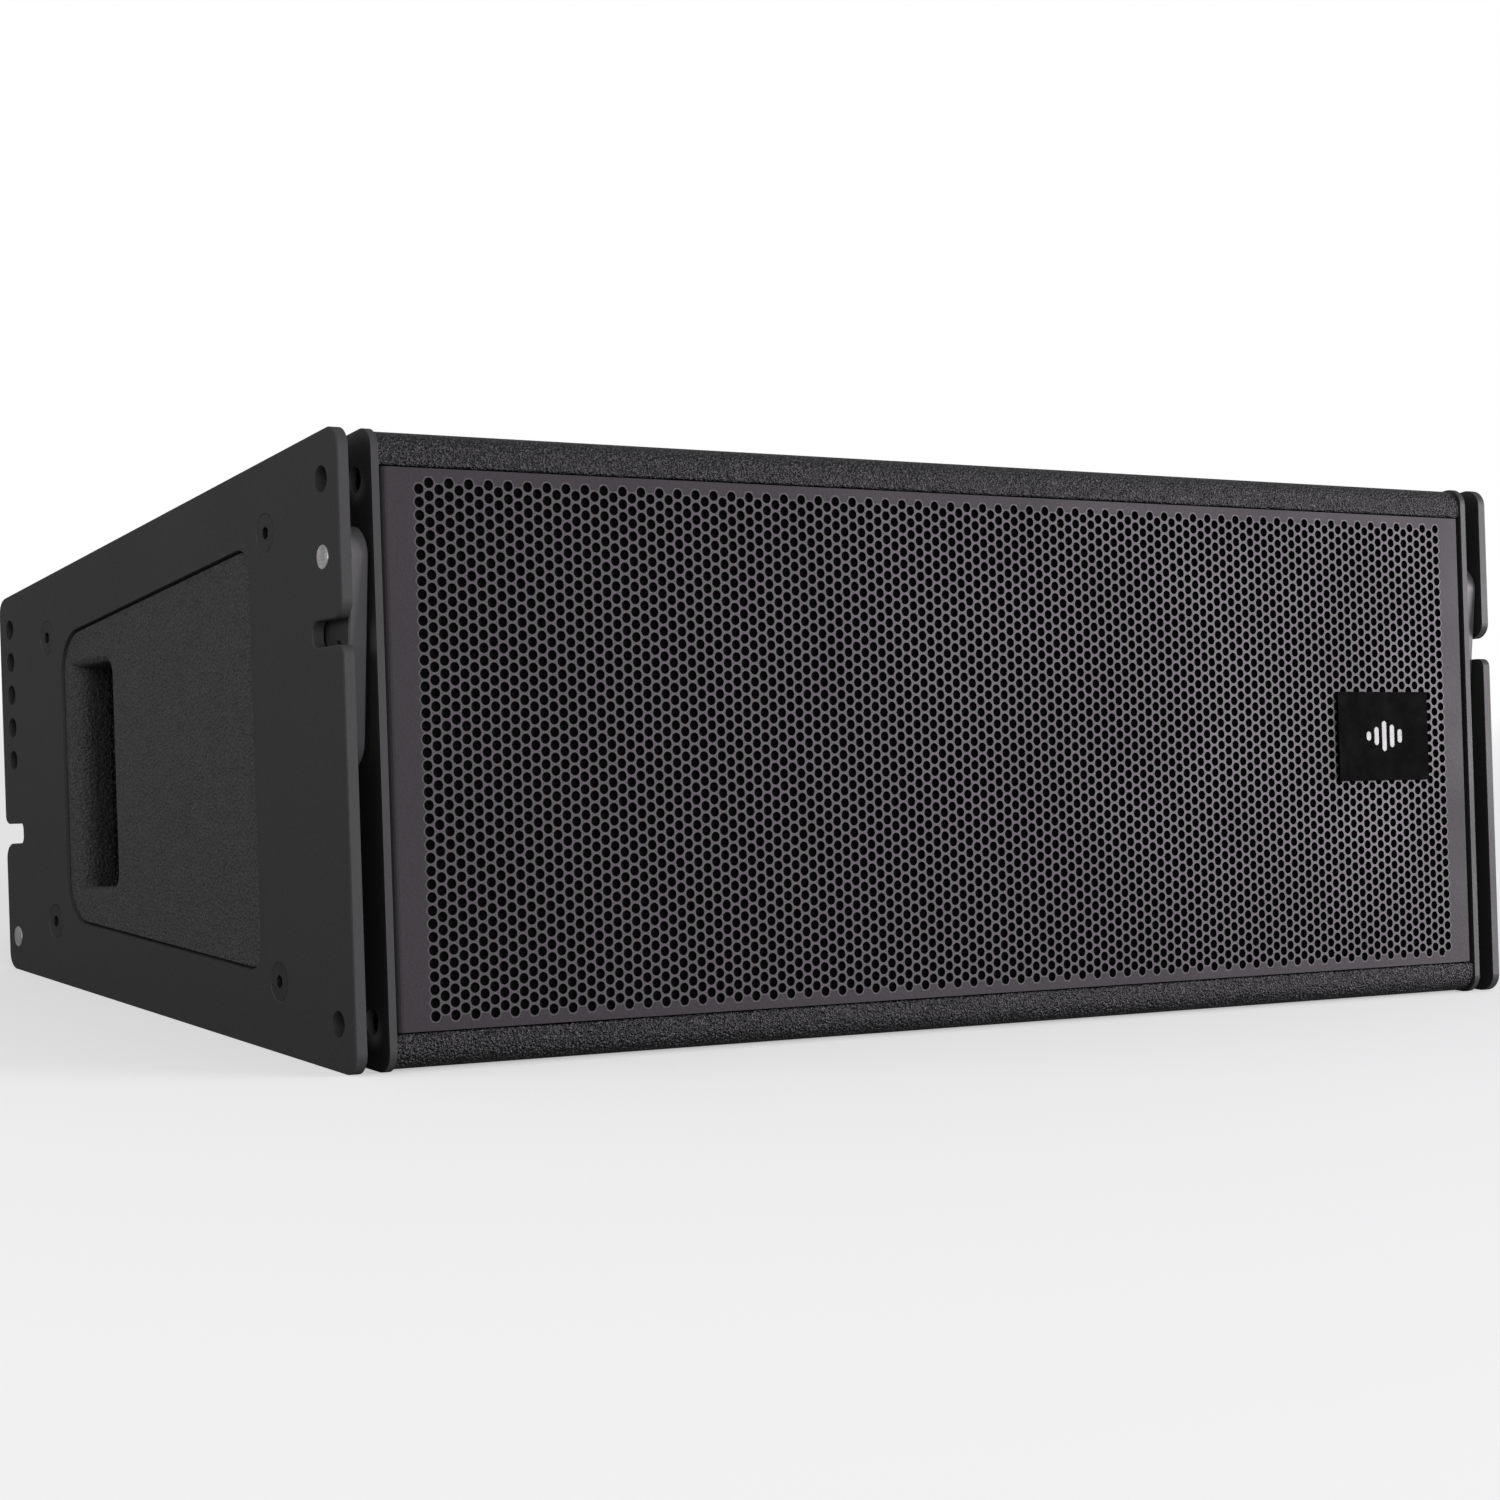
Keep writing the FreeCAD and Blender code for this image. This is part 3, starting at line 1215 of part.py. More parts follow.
def check_and_write():
    """Stop at any failed object; otherwise write one STEP file a sub-part."""
    doc.recompute()
    for thing in doc.Objects:
        if "Invalid" in thing.State or "Error" in thing.State:
            raise RuntimeError(f"{thing.Name} ({thing.Label}) did not compute: {thing.State}")
    os.makedirs("parts", exist_ok=True)
    for name, thing in finished.items():
        shape = thing.Shape
        if shape.isNull() or not shape.isValid() or not shape.Solids:
            raise RuntimeError(f"{name} has no valid shape")
    for name, thing in sorted(finished.items()):
        thing.Shape.exportStep(f"parts/{name}.step")
        print(f"{name}: {len(thing.Shape.Solids)} solid(s), {thing.Shape.Volume / 1000:.1f} cm3")
    print(len(finished), "sub-parts")


build()
doc.recompute()
standing = stand()
check_and_write()
print("stand:", standing)
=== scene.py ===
import math

import bmesh
import bpy
from mathutils import Matrix, Vector, noise


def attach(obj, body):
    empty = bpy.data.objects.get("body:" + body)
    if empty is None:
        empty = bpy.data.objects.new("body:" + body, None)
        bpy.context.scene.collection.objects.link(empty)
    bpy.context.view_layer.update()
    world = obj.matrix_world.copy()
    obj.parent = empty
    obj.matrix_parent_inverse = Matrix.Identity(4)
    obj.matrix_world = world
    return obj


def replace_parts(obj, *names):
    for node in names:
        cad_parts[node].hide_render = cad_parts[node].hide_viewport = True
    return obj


# Line array speaker: looks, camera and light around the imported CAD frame.
#
# New pieces are drawn in the enclosure's own frame, as in the CAD: X to the right seen from
# the front, Y from the grille's face to the rear, Z up from the mid plane.  STAND then leans
# them back by the rake, as the CAD does, so that every mesh lies in the row frame.  Metres.

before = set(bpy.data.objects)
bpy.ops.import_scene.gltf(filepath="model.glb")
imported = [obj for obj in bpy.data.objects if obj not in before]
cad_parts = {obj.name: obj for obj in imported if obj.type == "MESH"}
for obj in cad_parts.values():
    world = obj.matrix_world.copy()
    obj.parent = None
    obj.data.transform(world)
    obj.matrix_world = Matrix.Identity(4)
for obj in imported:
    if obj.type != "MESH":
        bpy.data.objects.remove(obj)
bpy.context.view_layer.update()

RAKE = math.radians(6)
STAND = Matrix.Translation((0, -0.218936, 0.154549)) @ Matrix.Rotation(-RAKE, 4, "X")
TO_ENCLOSURE = STAND.inverted()


def enclosure_box(node, keep=lambda point: True):
    """Lowest and highest corner of a CAD node in the enclosure's frame."""
    points = [TO_ENCLOSURE @ v.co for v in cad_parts[node].data.vertices]
    points = [p for p in points if keep(p)]
    low = Vector([min(p[axis] for p in points) for axis in range(3)])
    high = Vector([max(p[axis] for p in points) for axis in range(3)])
    return low, high


# ---------------------------------------------------------------- camera

FOCAL_MM = 73.59
SENSOR_MM = 36.0
RISE = 0.07  # vertical shift, a share of the sensor
CAMERA_AT = (-1.0529, -1.5241, 0.2372)
HEADING = math.radians(34.398)  # from +Y towards +X
PITCH = math.radians(-5.0205)
ROLL = math.radians(1.538)


def make_camera():
    data = bpy.data.cameras.new("camera")
    data.lens = FOCAL_MM
    data.sensor_width = SENSOR_MM
    data.shift_y = RISE
    data.clip_start = 0.05
    camera = bpy.data.objects.new("camera", data)
    bpy.context.scene.collection.objects.link(camera)
    level = Matrix.Rotation(-HEADING, 4, "Z") @ Matrix.Rotation(math.pi / 2 + PITCH, 4, "X")
    camera.matrix_world = Matrix.Translation(CAMERA_AT) @ level @ Matrix.Rotation(ROLL, 4, "Z")
    bpy.context.scene.camera = camera


make_camera()

# ---------------------------------------------------------------- perforation

HOLE_PITCH = 0.00635
HOLE_RADIUS = 0.00255
APOTHEM = HOLE_PITCH / 2
CORNER = HOLE_PITCH / math.sqrt(3)
COLUMN_STEP = CORNER * 1.5
COLUMN_LIFT = HOLE_PITCH / 4  # odd columns up and even ones down by this much

# ---------------------------------------------------------------- materials

CELL_SMOOTHNESS = 0.6
WAVE_BANDS = 6.3  # bands of a wave texture in one unit at scale 1


class Paint:
    """A node material on one Principled shader, built up with short calls."""

    def __init__(self, name, colour, roughness, metallic=0.0, gloss=0.5, coat=0.0):
        self.material = bpy.data.materials.new(name)
        self.material.use_nodes = True
        self.tree = self.material.node_tree
        self.shader = self.tree.nodes["Principled BSDF"]
        self.set(self.shader, "Base Color", (*colour, 1.0))
        self.set(self.shader, "Roughness", roughness)
        self.set(self.shader, "Metallic", metallic)
        self.set(self.shader, "Specular IOR Level", gloss)
        self.set(self.shader, "Coat Weight", coat)
        self.where = self.tree.nodes.new("ShaderNodeTexCoord").outputs["Object"]
        self.normal = None

    def set(self, node, name, value):
        """Give an input a number, a colour or another node's output."""
        if isinstance(value, bpy.types.NodeSocket):
            self.tree.links.new(value, node.inputs[name])
        else:
            node.inputs[name].default_value = value

    def add(self, kind, inputs=(), **settings):
        """A node with its settings and inputs."""
        node = self.tree.nodes.new(kind)
        for name, value in settings.items():
            setattr(node, name, value)
        for name, value in dict(inputs).items():
            self.set(node, name, value)
        return node

    def stretched(self, scale):
        """The object coordinates, stretched."""
        return self.add("ShaderNodeMapping", {"Vector": self.where, "Scale": scale}).outputs[0]

    def grain(self, size, detail=2.0, roughness=0.5, where=None):
        """Noise with features of a size in metres."""
        inputs = {
            "Vector": where or self.where,
            "Scale": 1 / size,
            "Detail": detail,
            "Roughness": roughness,
        }
        return self.add("ShaderNodeTexNoise", inputs).outputs["Fac"]

    def cells(self, size, feature="F1"):
        """Voronoi cells of a size in metres."""
        inputs = {"Vector": self.where, "Scale": 1 / size}
        if feature == "SMOOTH_F1":
            inputs["Smoothness"] = CELL_SMOOTHNESS
        return self.add("ShaderNodeTexVoronoi", inputs, feature=feature).outputs["Distance"]

    def spread(self, value, low, high, start=0.3, end=0.7):
        """A value between start and end, spread from low to high."""
        inputs = {
            "Value": value,
            "From Min": start,
            "From Max": end,
            "To Min": low,
            "To Max": high,
        }
        return self.add("ShaderNodeMapRange", inputs).outputs["Result"]

    def blend(self, factor, low, high):
        """A colour between two colours."""
        node = self.add("ShaderNodeMix", data_type="RGBA")
        self.tree.links.new(factor, node.inputs[0])
        node.inputs[6].default_value = (*low, 1.0)
        node.inputs[7].default_value = (*high, 1.0)
        return node.outputs[2]

    def mix(self, factor, plain, colour):
        """Lay a colour over another node's colour."""
        node = self.add("ShaderNodeMix", data_type="RGBA")
        self.tree.links.new(factor, node.inputs[0])
        self.tree.links.new(plain, node.inputs[6])
        node.inputs[7].default_value = (*colour, 1.0)
        return node.outputs[2]

    def tint(self, factor, low, high):
        """Vary the base colour."""
        self.set(self.shader, "Base Color", self.blend(factor, low, high))

    def rough(self, factor, low, high):
        """Vary the roughness."""
        self.set(self.shader, "Roughness", self.spread(factor, low, high))

    def bump(self, height, depth, strength=1.0):
        """Relief of a depth in metres, laid over the relief so far."""
        inputs = {"Height": height, "Distance": depth, "Strength": strength}
        if self.normal:
            inputs["Normal"] = self.normal
        self.normal = self.add("ShaderNodeBump", inputs).outputs["Normal"]
        self.set(self.shader, "Normal", self.normal)


def powder_coat(name, low, high, roughness, gloss=0.35):
    """Fine matte powder coat on steel, with a faint orange peel and cloudiness."""
    paint = Paint(name, high, roughness, gloss=gloss)
    cloud = paint.grain(size=0.09, detail=4)
    fine = paint.grain(size=0.0009, detail=3, roughness=0.7)
    paint.tint(paint.spread(fine, 0, 1), low, high)
    paint.rough(cloud, roughness - 0.05, roughness + 0.07)
    paint.bump(paint.grain(size=0.0022, detail=2), depth=0.00008)
    paint.bump(fine, depth=0.00007)
    return paint


# Distances are from a hole's middle, and gains are over the sheet's own colour: a painted
# highlight on the webs, painted shade on the rolled rims and inside the holes
WEB_MIDDLE = HOLE_PITCH / 2 + 0.0001
WEB_FADE = 0.0002
WEB_PAINTED_HIGHLIGHT_GAIN = 2.2
RIM_FROM = HOLE_RADIUS + 0.0001
RIM_TO = HOLE_RADIUS + 0.0003
RIM_PAINTED_SHADE_GAIN = 0.45
WALL_FROM = HOLE_RADIUS - 0.00001
WALL_TO = HOLE_RADIUS + 0.00003
WALL_PAINTED_SHADE_GAIN = 0.25


def coat_with_painted_edge_highlight(name, low, high, roughness, painted_edge_highlight_gain):
    """Powder coat on a plate or a link, with a painted highlight: paler on the cut edges, which
    don't face sideways.
    """
    paint = powder_coat(name, low, high, roughness)
    facing = paint.tree.nodes.new("ShaderNodeNewGeometry").outputs["True Normal"]
    across = paint.add("ShaderNodeSeparateXYZ", {"Vector": facing}).outputs["X"]
    across = paint.add("ShaderNodeMath", {0: across}, operation="ABSOLUTE").outputs[0]
    plain = paint.shader.inputs["Base Color"].links[0].from_socket
    # Painted highlight: faces that don't face sideways are painted paler than the coat's own
    # colour
    edge = paint.spread(across, 1, 0, start=0.5, end=0.95)
    paint.set(paint.shader, "Base Color", paint.mix(edge, plain, [painted_edge_highlight_gain * v for v in high]))
    return paint


def perforated_coat(name, low, high, roughness):
    """Powder coat on the perforated sheet, with painted light: a painted highlight on the webs,
    painted shade on the rolled rim and inside the holes.
    """
    paint = powder_coat(name, low, high, roughness)
    upright = {
        "Vector": paint.where,
        "Rotation": (RAKE, 0, 0),
        "Location": TO_ENCLOSURE.translation,
    }
    where = paint.add("ShaderNodeMapping", upright).outputs[0]
    nearest = []
    for sign in (1, -1):
        step = {0: where, 1: (-sign * COLUMN_STEP / 2, 0, sign * COLUMN_LIFT)}
        moved = paint.add("ShaderNodeVectorMath", step, operation="SUBTRACT").outputs[0]
        flat = {0: moved, 1: (1, 0, 1)}
        moved = paint.add("ShaderNodeVectorMath", flat, operation="MULTIPLY").outputs[0]
        cell = {0: moved, 1: (COLUMN_STEP, 1, APOTHEM), 2: (-COLUMN_STEP, -1, -APOTHEM)}
        moved = paint.add("ShaderNodeVectorMath", cell, operation="WRAP").outputs[0]
        reach = paint.add("ShaderNodeVectorMath", {0: moved}, operation="LENGTH")
        nearest.append(reach.outputs["Value"])
    away = {0: nearest[0], 1: nearest[1]}
    away = paint.add("ShaderNodeMath", away, operation="MINIMUM").outputs[0]
    plain = paint.shader.inputs["Base Color"].links[0].from_socket
    # Painted highlight: the webs between the holes are painted paler
    painted_web_highlight = paint.spread(away, 1, 0, start=WEB_MIDDLE, end=WEB_MIDDLE + WEB_FADE)
    pale = paint.mix(painted_web_highlight, plain, [WEB_PAINTED_HIGHLIGHT_GAIN * v for v in high])
    # Painted shade: the rolled rim round each hole is painted darker
    rim = paint.spread(away, 1, 0, start=RIM_FROM, end=RIM_TO)
    rolled = paint.mix(rim, pale, [RIM_PAINTED_SHADE_GAIN * v for v in high])
    # Painted shade: the inside of each hole is painted darker still
    painted_wall_shade = paint.spread(away, 1, 0, start=WALL_FROM, end=WALL_TO)
    dark = paint.mix(painted_wall_shade, rolled, [WALL_PAINTED_SHADE_GAIN * v for v in low])
    paint.set(paint.shader, "Base Color", dark)
    return paint


def textured_coat(name, low, high):
    """The coarse wear resistant coat rolled on the plywood: rounded lumps, with painted glints
    that make the raised pebble tops paler.
    """
    paint = Paint(name, low, roughness=0.42, gloss=0.4)
    warp = paint.grain(size=0.004, detail=2)
    lumps = paint.cells(size=0.0015, feature="SMOOTH_F1")
    pebble = paint.grain(size=0.0012, detail=2)
    # Painted glints: the raised tops of the pebbles are painted much paler than the black coat
    paint.tint(paint.spread(pebble, 0, 1, start=0.49, end=0.61), low, high)
    paint.rough(warp, 0.28, 0.45)
    paint.bump(lumps, depth=0.0009)
    paint.bump(pebble, depth=0.0014)
    return paint


def moulded(name, low, high, grain_size, depth, roughness, gloss=0.4):
    """Moulded plastic with a spark eroded grain."""
    paint = Paint(name, high, roughness, gloss=gloss)
    cell = paint.cells(grain_size, feature="SMOOTH_F1")
    grit = paint.grain(grain_size * 0.55, detail=3, roughness=0.65)
    paint.tint(paint.spread(grit, 0, 1), low, high)
    paint.rough(paint.grain(size=0.03, detail=3), roughness - 0.05, roughness + 0.06)
    paint.bump(cell, depth, strength=0.8)
    paint.bump(grit, depth * 0.8, strength=0.8)
    return paint


def metal(name, low, high, roughness, brushed=(1, 1, 1), metallic=1.0):
    """Bare or plated metal with fine tool marks."""
    paint = Paint(name, high, roughness, metallic=metallic)
    marks = paint.grain(size=0.0012, detail=4, roughness=0.7, where=paint.stretched(brushed))
    paint.tint(paint.spread(marks, 0, 1), low, high)
    paint.rough(paint.grain(size=0.006, detail=3), roughness - 0.08, roughness + 0.12)
    paint.bump(marks, depth=0.00004)
    return paint


def foam(name, low, high, cell):
    """Open cell foam."""
    paint = Paint(name, low, roughness=0.95, gloss=0.1)
    pores = paint.cells(cell)
    ragged = paint.grain(cell * 0.8, detail=3, roughness=0.7)
    paint.tint(paint.spread(pores, 0, 1, start=0.1, end=0.6), low, high)
    paint.bump(pores, cell * 0.5)
    paint.bump(ragged, cell * 0.4)
    return paint


def wood(name, low, high):
    """Birch plywood face under a thin black stain."""
    paint = Paint(name, low, roughness=0.6, gloss=0.3)
    along = paint.stretched((0.12, 1, 1))
    fibre = paint.grain(size=0.012, detail=5, roughness=0.65, where=along)
    paint.tint(paint.spread(fibre, 0, 1), low, high)
    paint.rough(fibre, 0.5, 0.72)
    along = paint.stretched((0.08, 1, 1))
    pore = paint.grain(size=0.0025, detail=4, roughness=0.7, where=along)
    paint.bump(pore, depth=0.00025)
    return paint


def fibre_paper(name, low, high):
    """Pressed paper pulp of a cone."""
    paint = Paint(name, low, roughness=0.8, gloss=0.2)
    pulp = paint.grain(size=0.003, detail=5, roughness=0.75)
    paint.tint(paint.spread(pulp, 0, 1), low, high)
    paint.bump(pulp, depth=0.0003)
    return paint


def woven(name, low, high, thread):
    """Cloth of crossed threads."""
    paint = Paint(name, low, roughness=0.85, gloss=0.15)
    waves = []
    for direction in ("X", "Z"):
        inputs = {"Vector": paint.where, "Scale": 1 / thread / WAVE_BANDS}
        node = paint.add("ShaderNodeTexWave", inputs, bands_direction=direction)
        waves.append(node.outputs["Fac"])
    both = {0: waves[0], 1: waves[1]}
    crossed = paint.add("ShaderNodeMath", both, operation="MULTIPLY").outputs[0]
    paint.tint(crossed, low, high)
    paint.bump(crossed, depth=thread * 0.3)
    return paint


def wound(name, low, high, wire):
    """Enamelled wire laid turn by turn."""
    paint = Paint(name, high, roughness=0.3, metallic=1.0, coat=0.4)
    inputs = {"Vector": paint.where, "Scale": 1 / wire / WAVE_BANDS, "Distortion": 0.4}
    turns = paint.add("ShaderNodeTexWave", inputs, bands_direction="Y").outputs["Fac"]
    paint.tint(turns, low, high)
    paint.rough(paint.grain(size=0.005, detail=2), 0.22, 0.4)
    paint.bump(turns, depth=wire * 0.4)
    return paint


def speckled(name, low, high, roughness, gloss=0.5, size=0.003, depth=0.0001, coat=0.0):
    """A plain part with slight unevenness: ceramic, film, board or enamel."""
    paint = Paint(name, high, roughness, gloss=gloss, coat=coat)
    spots = paint.grain(size, detail=4, roughness=0.65)
    paint.tint(paint.spread(spots, 0, 1), low, high)
    paint.rough(paint.grain(size * 6, detail=2), roughness - 0.06, roughness + 0.08)
    paint.bump(spots, depth)
    return paint


PAINTS = {
    "plate_paint": coat_with_painted_edge_highlight(
        "plate_paint", (0.025, 0.0245, 0.0255), (0.036, 0.035, 0.0365), roughness=0.5, painted_edge_highlight_gain=1.7
    ),
    "link_paint": coat_with_painted_edge_highlight(
        "link_paint", (0.017, 0.0165, 0.0172), (0.026, 0.025, 0.0265), roughness=0.42, painted_edge_highlight_gain=5.2
    ),
    "grille_paint": powder_coat(
        "grille_paint", (0.0435, 0.0385, 0.044), (0.0595, 0.052, 0.06), roughness=0.5, gloss=0.2
    ),
    "grille_webs": perforated_coat(
        "grille_webs", (0.037, 0.033, 0.0375), (0.051, 0.045, 0.0515), roughness=0.45
    ),
    "cabinet_paint": textured_coat(
        "cabinet_paint", (0.002, 0.002, 0.0021), (0.064, 0.06, 0.066)
    ),
    "baffle_wood": wood("baffle_wood", (0.012, 0.011, 0.01), (0.03, 0.027, 0.024)),
    "handle_plastic": moulded(
        "handle_plastic",
        (0.004, 0.004, 0.0042),
        (0.088, 0.088, 0.09),
        grain_size=0.0017,
        depth=0.0013,
        roughness=0.6,
    ),
    "acoustic_foam": foam(
        "acoustic_foam", (0.0015, 0.0015, 0.0017), (0.006, 0.006, 0.0065), cell=0.0016
    ),
    "badge_plastic": speckled(
        "badge_plastic",
        (0.002, 0.0018, 0.002),
        (0.003, 0.0027, 0.003),
        roughness=0.6,
        gloss=0.02,
        size=0.0015,
        depth=0.00002,
    ),
    "black_screws": metal(
        "black_screws", (0.008, 0.008, 0.009), (0.022, 0.022, 0.024), roughness=0.42, metallic=0.0
    ),
    "bare_steel": metal(
        "bare_steel", (0.6, 0.58, 0.55), (0.85, 0.83, 0.8), roughness=0.42, brushed=(1, 0.3, 1)
    ),
    "cast_frame": speckled(
        "cast_frame",
        (0.01, 0.01, 0.011),
        (0.03, 0.03, 0.032),
        roughness=0.5,
        size=0.0016,
        depth=0.00015,
    ),
    "paper_cone": fibre_paper("paper_cone", (0.012, 0.012, 0.012), (0.035, 0.034, 0.032)),
    "surround_rubber": speckled(
        "surround_rubber",
        (0.008, 0.008, 0.008),
        (0.018, 0.018, 0.018),
        roughness=0.65,
        gloss=0.3,
        size=0.001,
    ),
    "spider_cloth": woven("spider_cloth", (0.28, 0.16, 0.05), (0.5, 0.33, 0.14), thread=0.0008),
    "coil_copper": wound("coil_copper", (0.45, 0.16, 0.07), (0.85, 0.42, 0.25), wire=0.0012),
    "motor_steel": metal(
        "motor_steel", (0.3, 0.3, 0.32), (0.5, 0.5, 0.53), roughness=0.3, brushed=(0.3, 1, 0.3)
    ),
    "ferrite": speckled(
        "ferrite",
        (0.012, 0.012, 0.014),
        (0.035, 0.035, 0.04),
        roughness=0.55,
        size=0.0012,
        depth=0.00015,
    ),
    "horn_plastic": moulded(
        "horn_plastic",
        (0.008, 0.008, 0.009),
        (0.018, 0.018, 0.019),
        grain_size=0.0009,
        depth=0.0001,
        roughness=0.42,
    ),
    "driver_housing": metal(
        "driver_housing", (0.25, 0.25, 0.27), (0.42, 0.42, 0.45), roughness=0.36
    ),
    "driver_cover": moulded(
        "driver_cover",
        (0.01, 0.01, 0.011),
        (0.022, 0.022, 0.024),
        grain_size=0.0012,
        depth=0.00015,
        roughness=0.5,
    ),
    "circuit_board": speckled(
        "circuit_board",
        (0.012, 0.07, 0.025),
        (0.025, 0.12, 0.045),
        roughness=0.35,
        size=0.002,
        depth=0.00005,
        coat=0.3,
    ),
    "capacitor_film": speckled(
        "capacitor_film",
        (0.32, 0.1, 0.015),
        (0.5, 0.2, 0.04),
        roughness=0.3,
        size=0.004,
        depth=0.0001,
        coat=0.5,
    ),
    "resistor_ceramic": speckled(
        "resistor_ceramic",
        (0.55, 0.53, 0.48),
        (0.72, 0.7, 0.66),
        roughness=0.8,
        size=0.0008,
        depth=0.0001,
    ),
    "connector_metal": powder_coat(
        "connector_metal", (0.012, 0.012, 0.013), (0.02, 0.02, 0.021), roughness=0.5
    ),
    "socket_plastic": moulded(
        "socket_plastic",
        (0.012, 0.014, 0.02),
        (0.022, 0.026, 0.038),
        grain_size=0.0008,
        depth=0.00006,
        roughness=0.38,
    ),
}

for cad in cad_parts.values():
    for place, old in enumerate(cad.data.materials):
        cad.data.materials[place] = PAINTS[old.name].material

# ---------------------------------------------------------------- mesh tools


class Shape:
    """Faces gathered in the enclosure's frame, with shared corners."""

    STEP = 1e-7  # points closer than this are one corner

    def __init__(self):
        self.points = []
        self.faces = []
        self.index = {}
        self.coat = 0
        self.coats = []

    def corner(self, point):
        key = tuple(round(v / self.STEP) for v in point)
        if key not in self.index:
            self.index[key] = len(self.points)
            self.points.append(point)
        return self.index[key]

    def face(self, *corners):
        self.faces.append([self.corner(c) for c in corners])
        self.coats.append(self.coat)

    def strip(self, one, other):
        """Faces between two lines of as many points."""
        for a, b, c, d in zip(one, one[1:], other[1:], other):
            self.face(a, b, c, d)

    def piece(self, name, slot, body="enclosure", smooth=False, second=None):
        """The finished object, in the row frame, riding on a body."""
        mesh = bpy.data.meshes.new(name)
        mesh.from_pydata([STAND @ Vector(p) for p in self.points], [], self.faces)
        work = bmesh.new()
        work.from_mesh(mesh)
        bmesh.ops.recalc_face_normals(work, faces=work.faces)
        work.to_mesh(mesh)
        work.free()
        mesh.materials.append(PAINTS[slot].material)
        if second:
            mesh.materials.append(PAINTS[second].material)
        for polygon, coat in zip(mesh.polygons, self.coats):
            polygon.use_smooth = smooth
            polygon.material_index = coat
        thing = bpy.data.objects.new(name, mesh)
        bpy.context.scene.collection.objects.link(thing)
        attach(thing, body)
        return thing


# ---------------------------------------------------------------- grille

SHEET = 0.0015
BEND = 0.003
COLUMNS = 128
ROWS = 41
HOLE_SIDES = 12
ARC_STEPS = 4
grille_high = enclosure_box("grille")[1]


def hole_centre(column, row):
    """Middle of a hole; every other column stands half a pitch higher."""
    shift = COLUMN_LIFT * (1 if column % 2 else -1)
    across = (column - (COLUMNS - 1) / 2) * COLUMN_STEP
    return across, shift + (row - (ROWS - 1) / 2) * HOLE_PITCH


def grille_half(name, sign):
    """One half of the perforated sheet, its folded side and its plain border."""
    shape = Shape()
    wide, tall = grille_high.x, grille_high.z
    deep = grille_high.y

    def at(x, y, z):
        return (sign * x, y, sign * z)

    def face_both(*corners):
        for depth in (0.0, SHEET):
            shape.face(*(at(x, depth, z) for x, z in corners))

    # Hexagonal cells, each with one hole
    shape.coat = 1
    for column in range(COLUMNS // 2):
        for row in range(ROWS):
            x, z = hole_centre(column, row)
            rim, edge = [], []
            for k in range(HOLE_SIDES + 1):
                turn = 2 * math.pi * (k % HOLE_SIDES) / HOLE_SIDES
                reach = APOTHEM if k % 2 else CORNER
                rim.append((x + HOLE_RADIUS * math.cos(turn), z + HOLE_RADIUS * math.sin(turn)))
                edge.append((x + reach * math.cos(turn), z + reach * math.sin(turn)))
            for k in range(HOLE_SIDES):
                face_both(rim[k], edge[k], edge[k + 1], rim[k + 1])
            shape.strip([at(a, 0.0, b) for a, b in rim], [at(a, SHEET, b) for a, b in rim])

    # Plain border above and below the holes
    shape.coat = 0

    def long_line(row, side):
        line = []
        for column in range(COLUMNS // 2 + 1):
            x, z = hole_centre(column, row)
            edge = z + side * APOTHEM
            left = (x - CORNER / 2, edge)
            if line:
                last = line[-1]
                line.append(((last[0] + left[0]) / 2, (last[1] + left[1]) / 2))
            line.append(left)
            if column < COLUMNS // 2:
                line += [(x, edge), (x + CORNER / 2, edge)]
        return line

    flat = wide - BEND
    # One half's lower line stops where the other half's upper line comes to meet it
    top, bottom = long_line(ROWS - 1, 1), long_line(0, -1)[:-2]
    for line, limit in ((top, tall), (bottom, -tall)):
        line = [(-flat, line[0][1]), *line]
        for (a, b), (c, d) in zip(line, line[1:]):
            face_both((a, b), (c, d), (c, limit), (a, limit))
            rim = [at(a, 0.0, limit), at(c, 0.0, limit), at(c, SHEET, limit), at(a, SHEET, limit)]
            shape.face(*rim)

    # Plain border beside the holes
    side_line = [bottom[0]]
    for row in range(ROWS):
        x, z = hole_centre(0, row)
        for lift in (-APOTHEM / 2, 0.0, APOTHEM / 2, APOTHEM):
            reach = CORNER - abs(lift) / APOTHEM * CORNER / 2
            side_line.append((x - reach, z + lift))
    for (a, b), (c, d) in zip(side_line, side_line[1:]):
        face_both((a, b), (c, d), (-flat, d), (-flat, b))

    # Folded side
    heights = [-tall, *(z for x, z in side_line), tall]
    outer, inner = [], []
    for k in range(ARC_STEPS + 1):
        turn = math.pi / 2 * k / ARC_STEPS
        for line, radius in ((outer, BEND), (inner, BEND - SHEET)):
            line.append((-flat - radius * math.sin(turn), BEND - radius * math.cos(turn)))
    outer.append((-wide, deep))
    inner.append((-wide + SHEET, deep))
    profile = [*outer, *reversed(inner)]
    for (a, b), (c, d) in zip(profile, profile[1:]):
        shape.strip([at(a, b, z) for z in heights], [at(c, d, z) for z in heights])
    for z in (-tall, tall):
        shape.strip([at(a, b, z) for a, b in outer], [at(a, b, z) for a, b in inner])

    # Where the two halves meet
    seam = [(top[-1][0], tall), top[-1]]
    for row in reversed(range(ROWS)):
        x, z = hole_centre(COLUMNS // 2 - 1, row)
        if row < ROWS - 1:
            seam += [(x + CORNER * 0.75, z + APOTHEM / 2), (x + CORNER, z)]
        seam += [(x + CORNER * 0.75, z - APOTHEM / 2), (x + CORNER / 2, z - APOTHEM)]
    seam.append((bottom[-1][0], -tall))
    shape.strip([at(a, 0.0, b) for a, b in seam], [at(a, SHEET, b) for a, b in seam])
    return shape.piece(name, "grille_paint", second="grille_webs")


for name, sign in (("grille_left_half", 1), ("grille_right_half", -1)):
    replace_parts(grille_half(name, sign), "grille")

# ---------------------------------------------------------------- foam


FOAM_DROP = 0.002
FOAM_ROUND = 0.003
FOAM_TUFT = 0.004


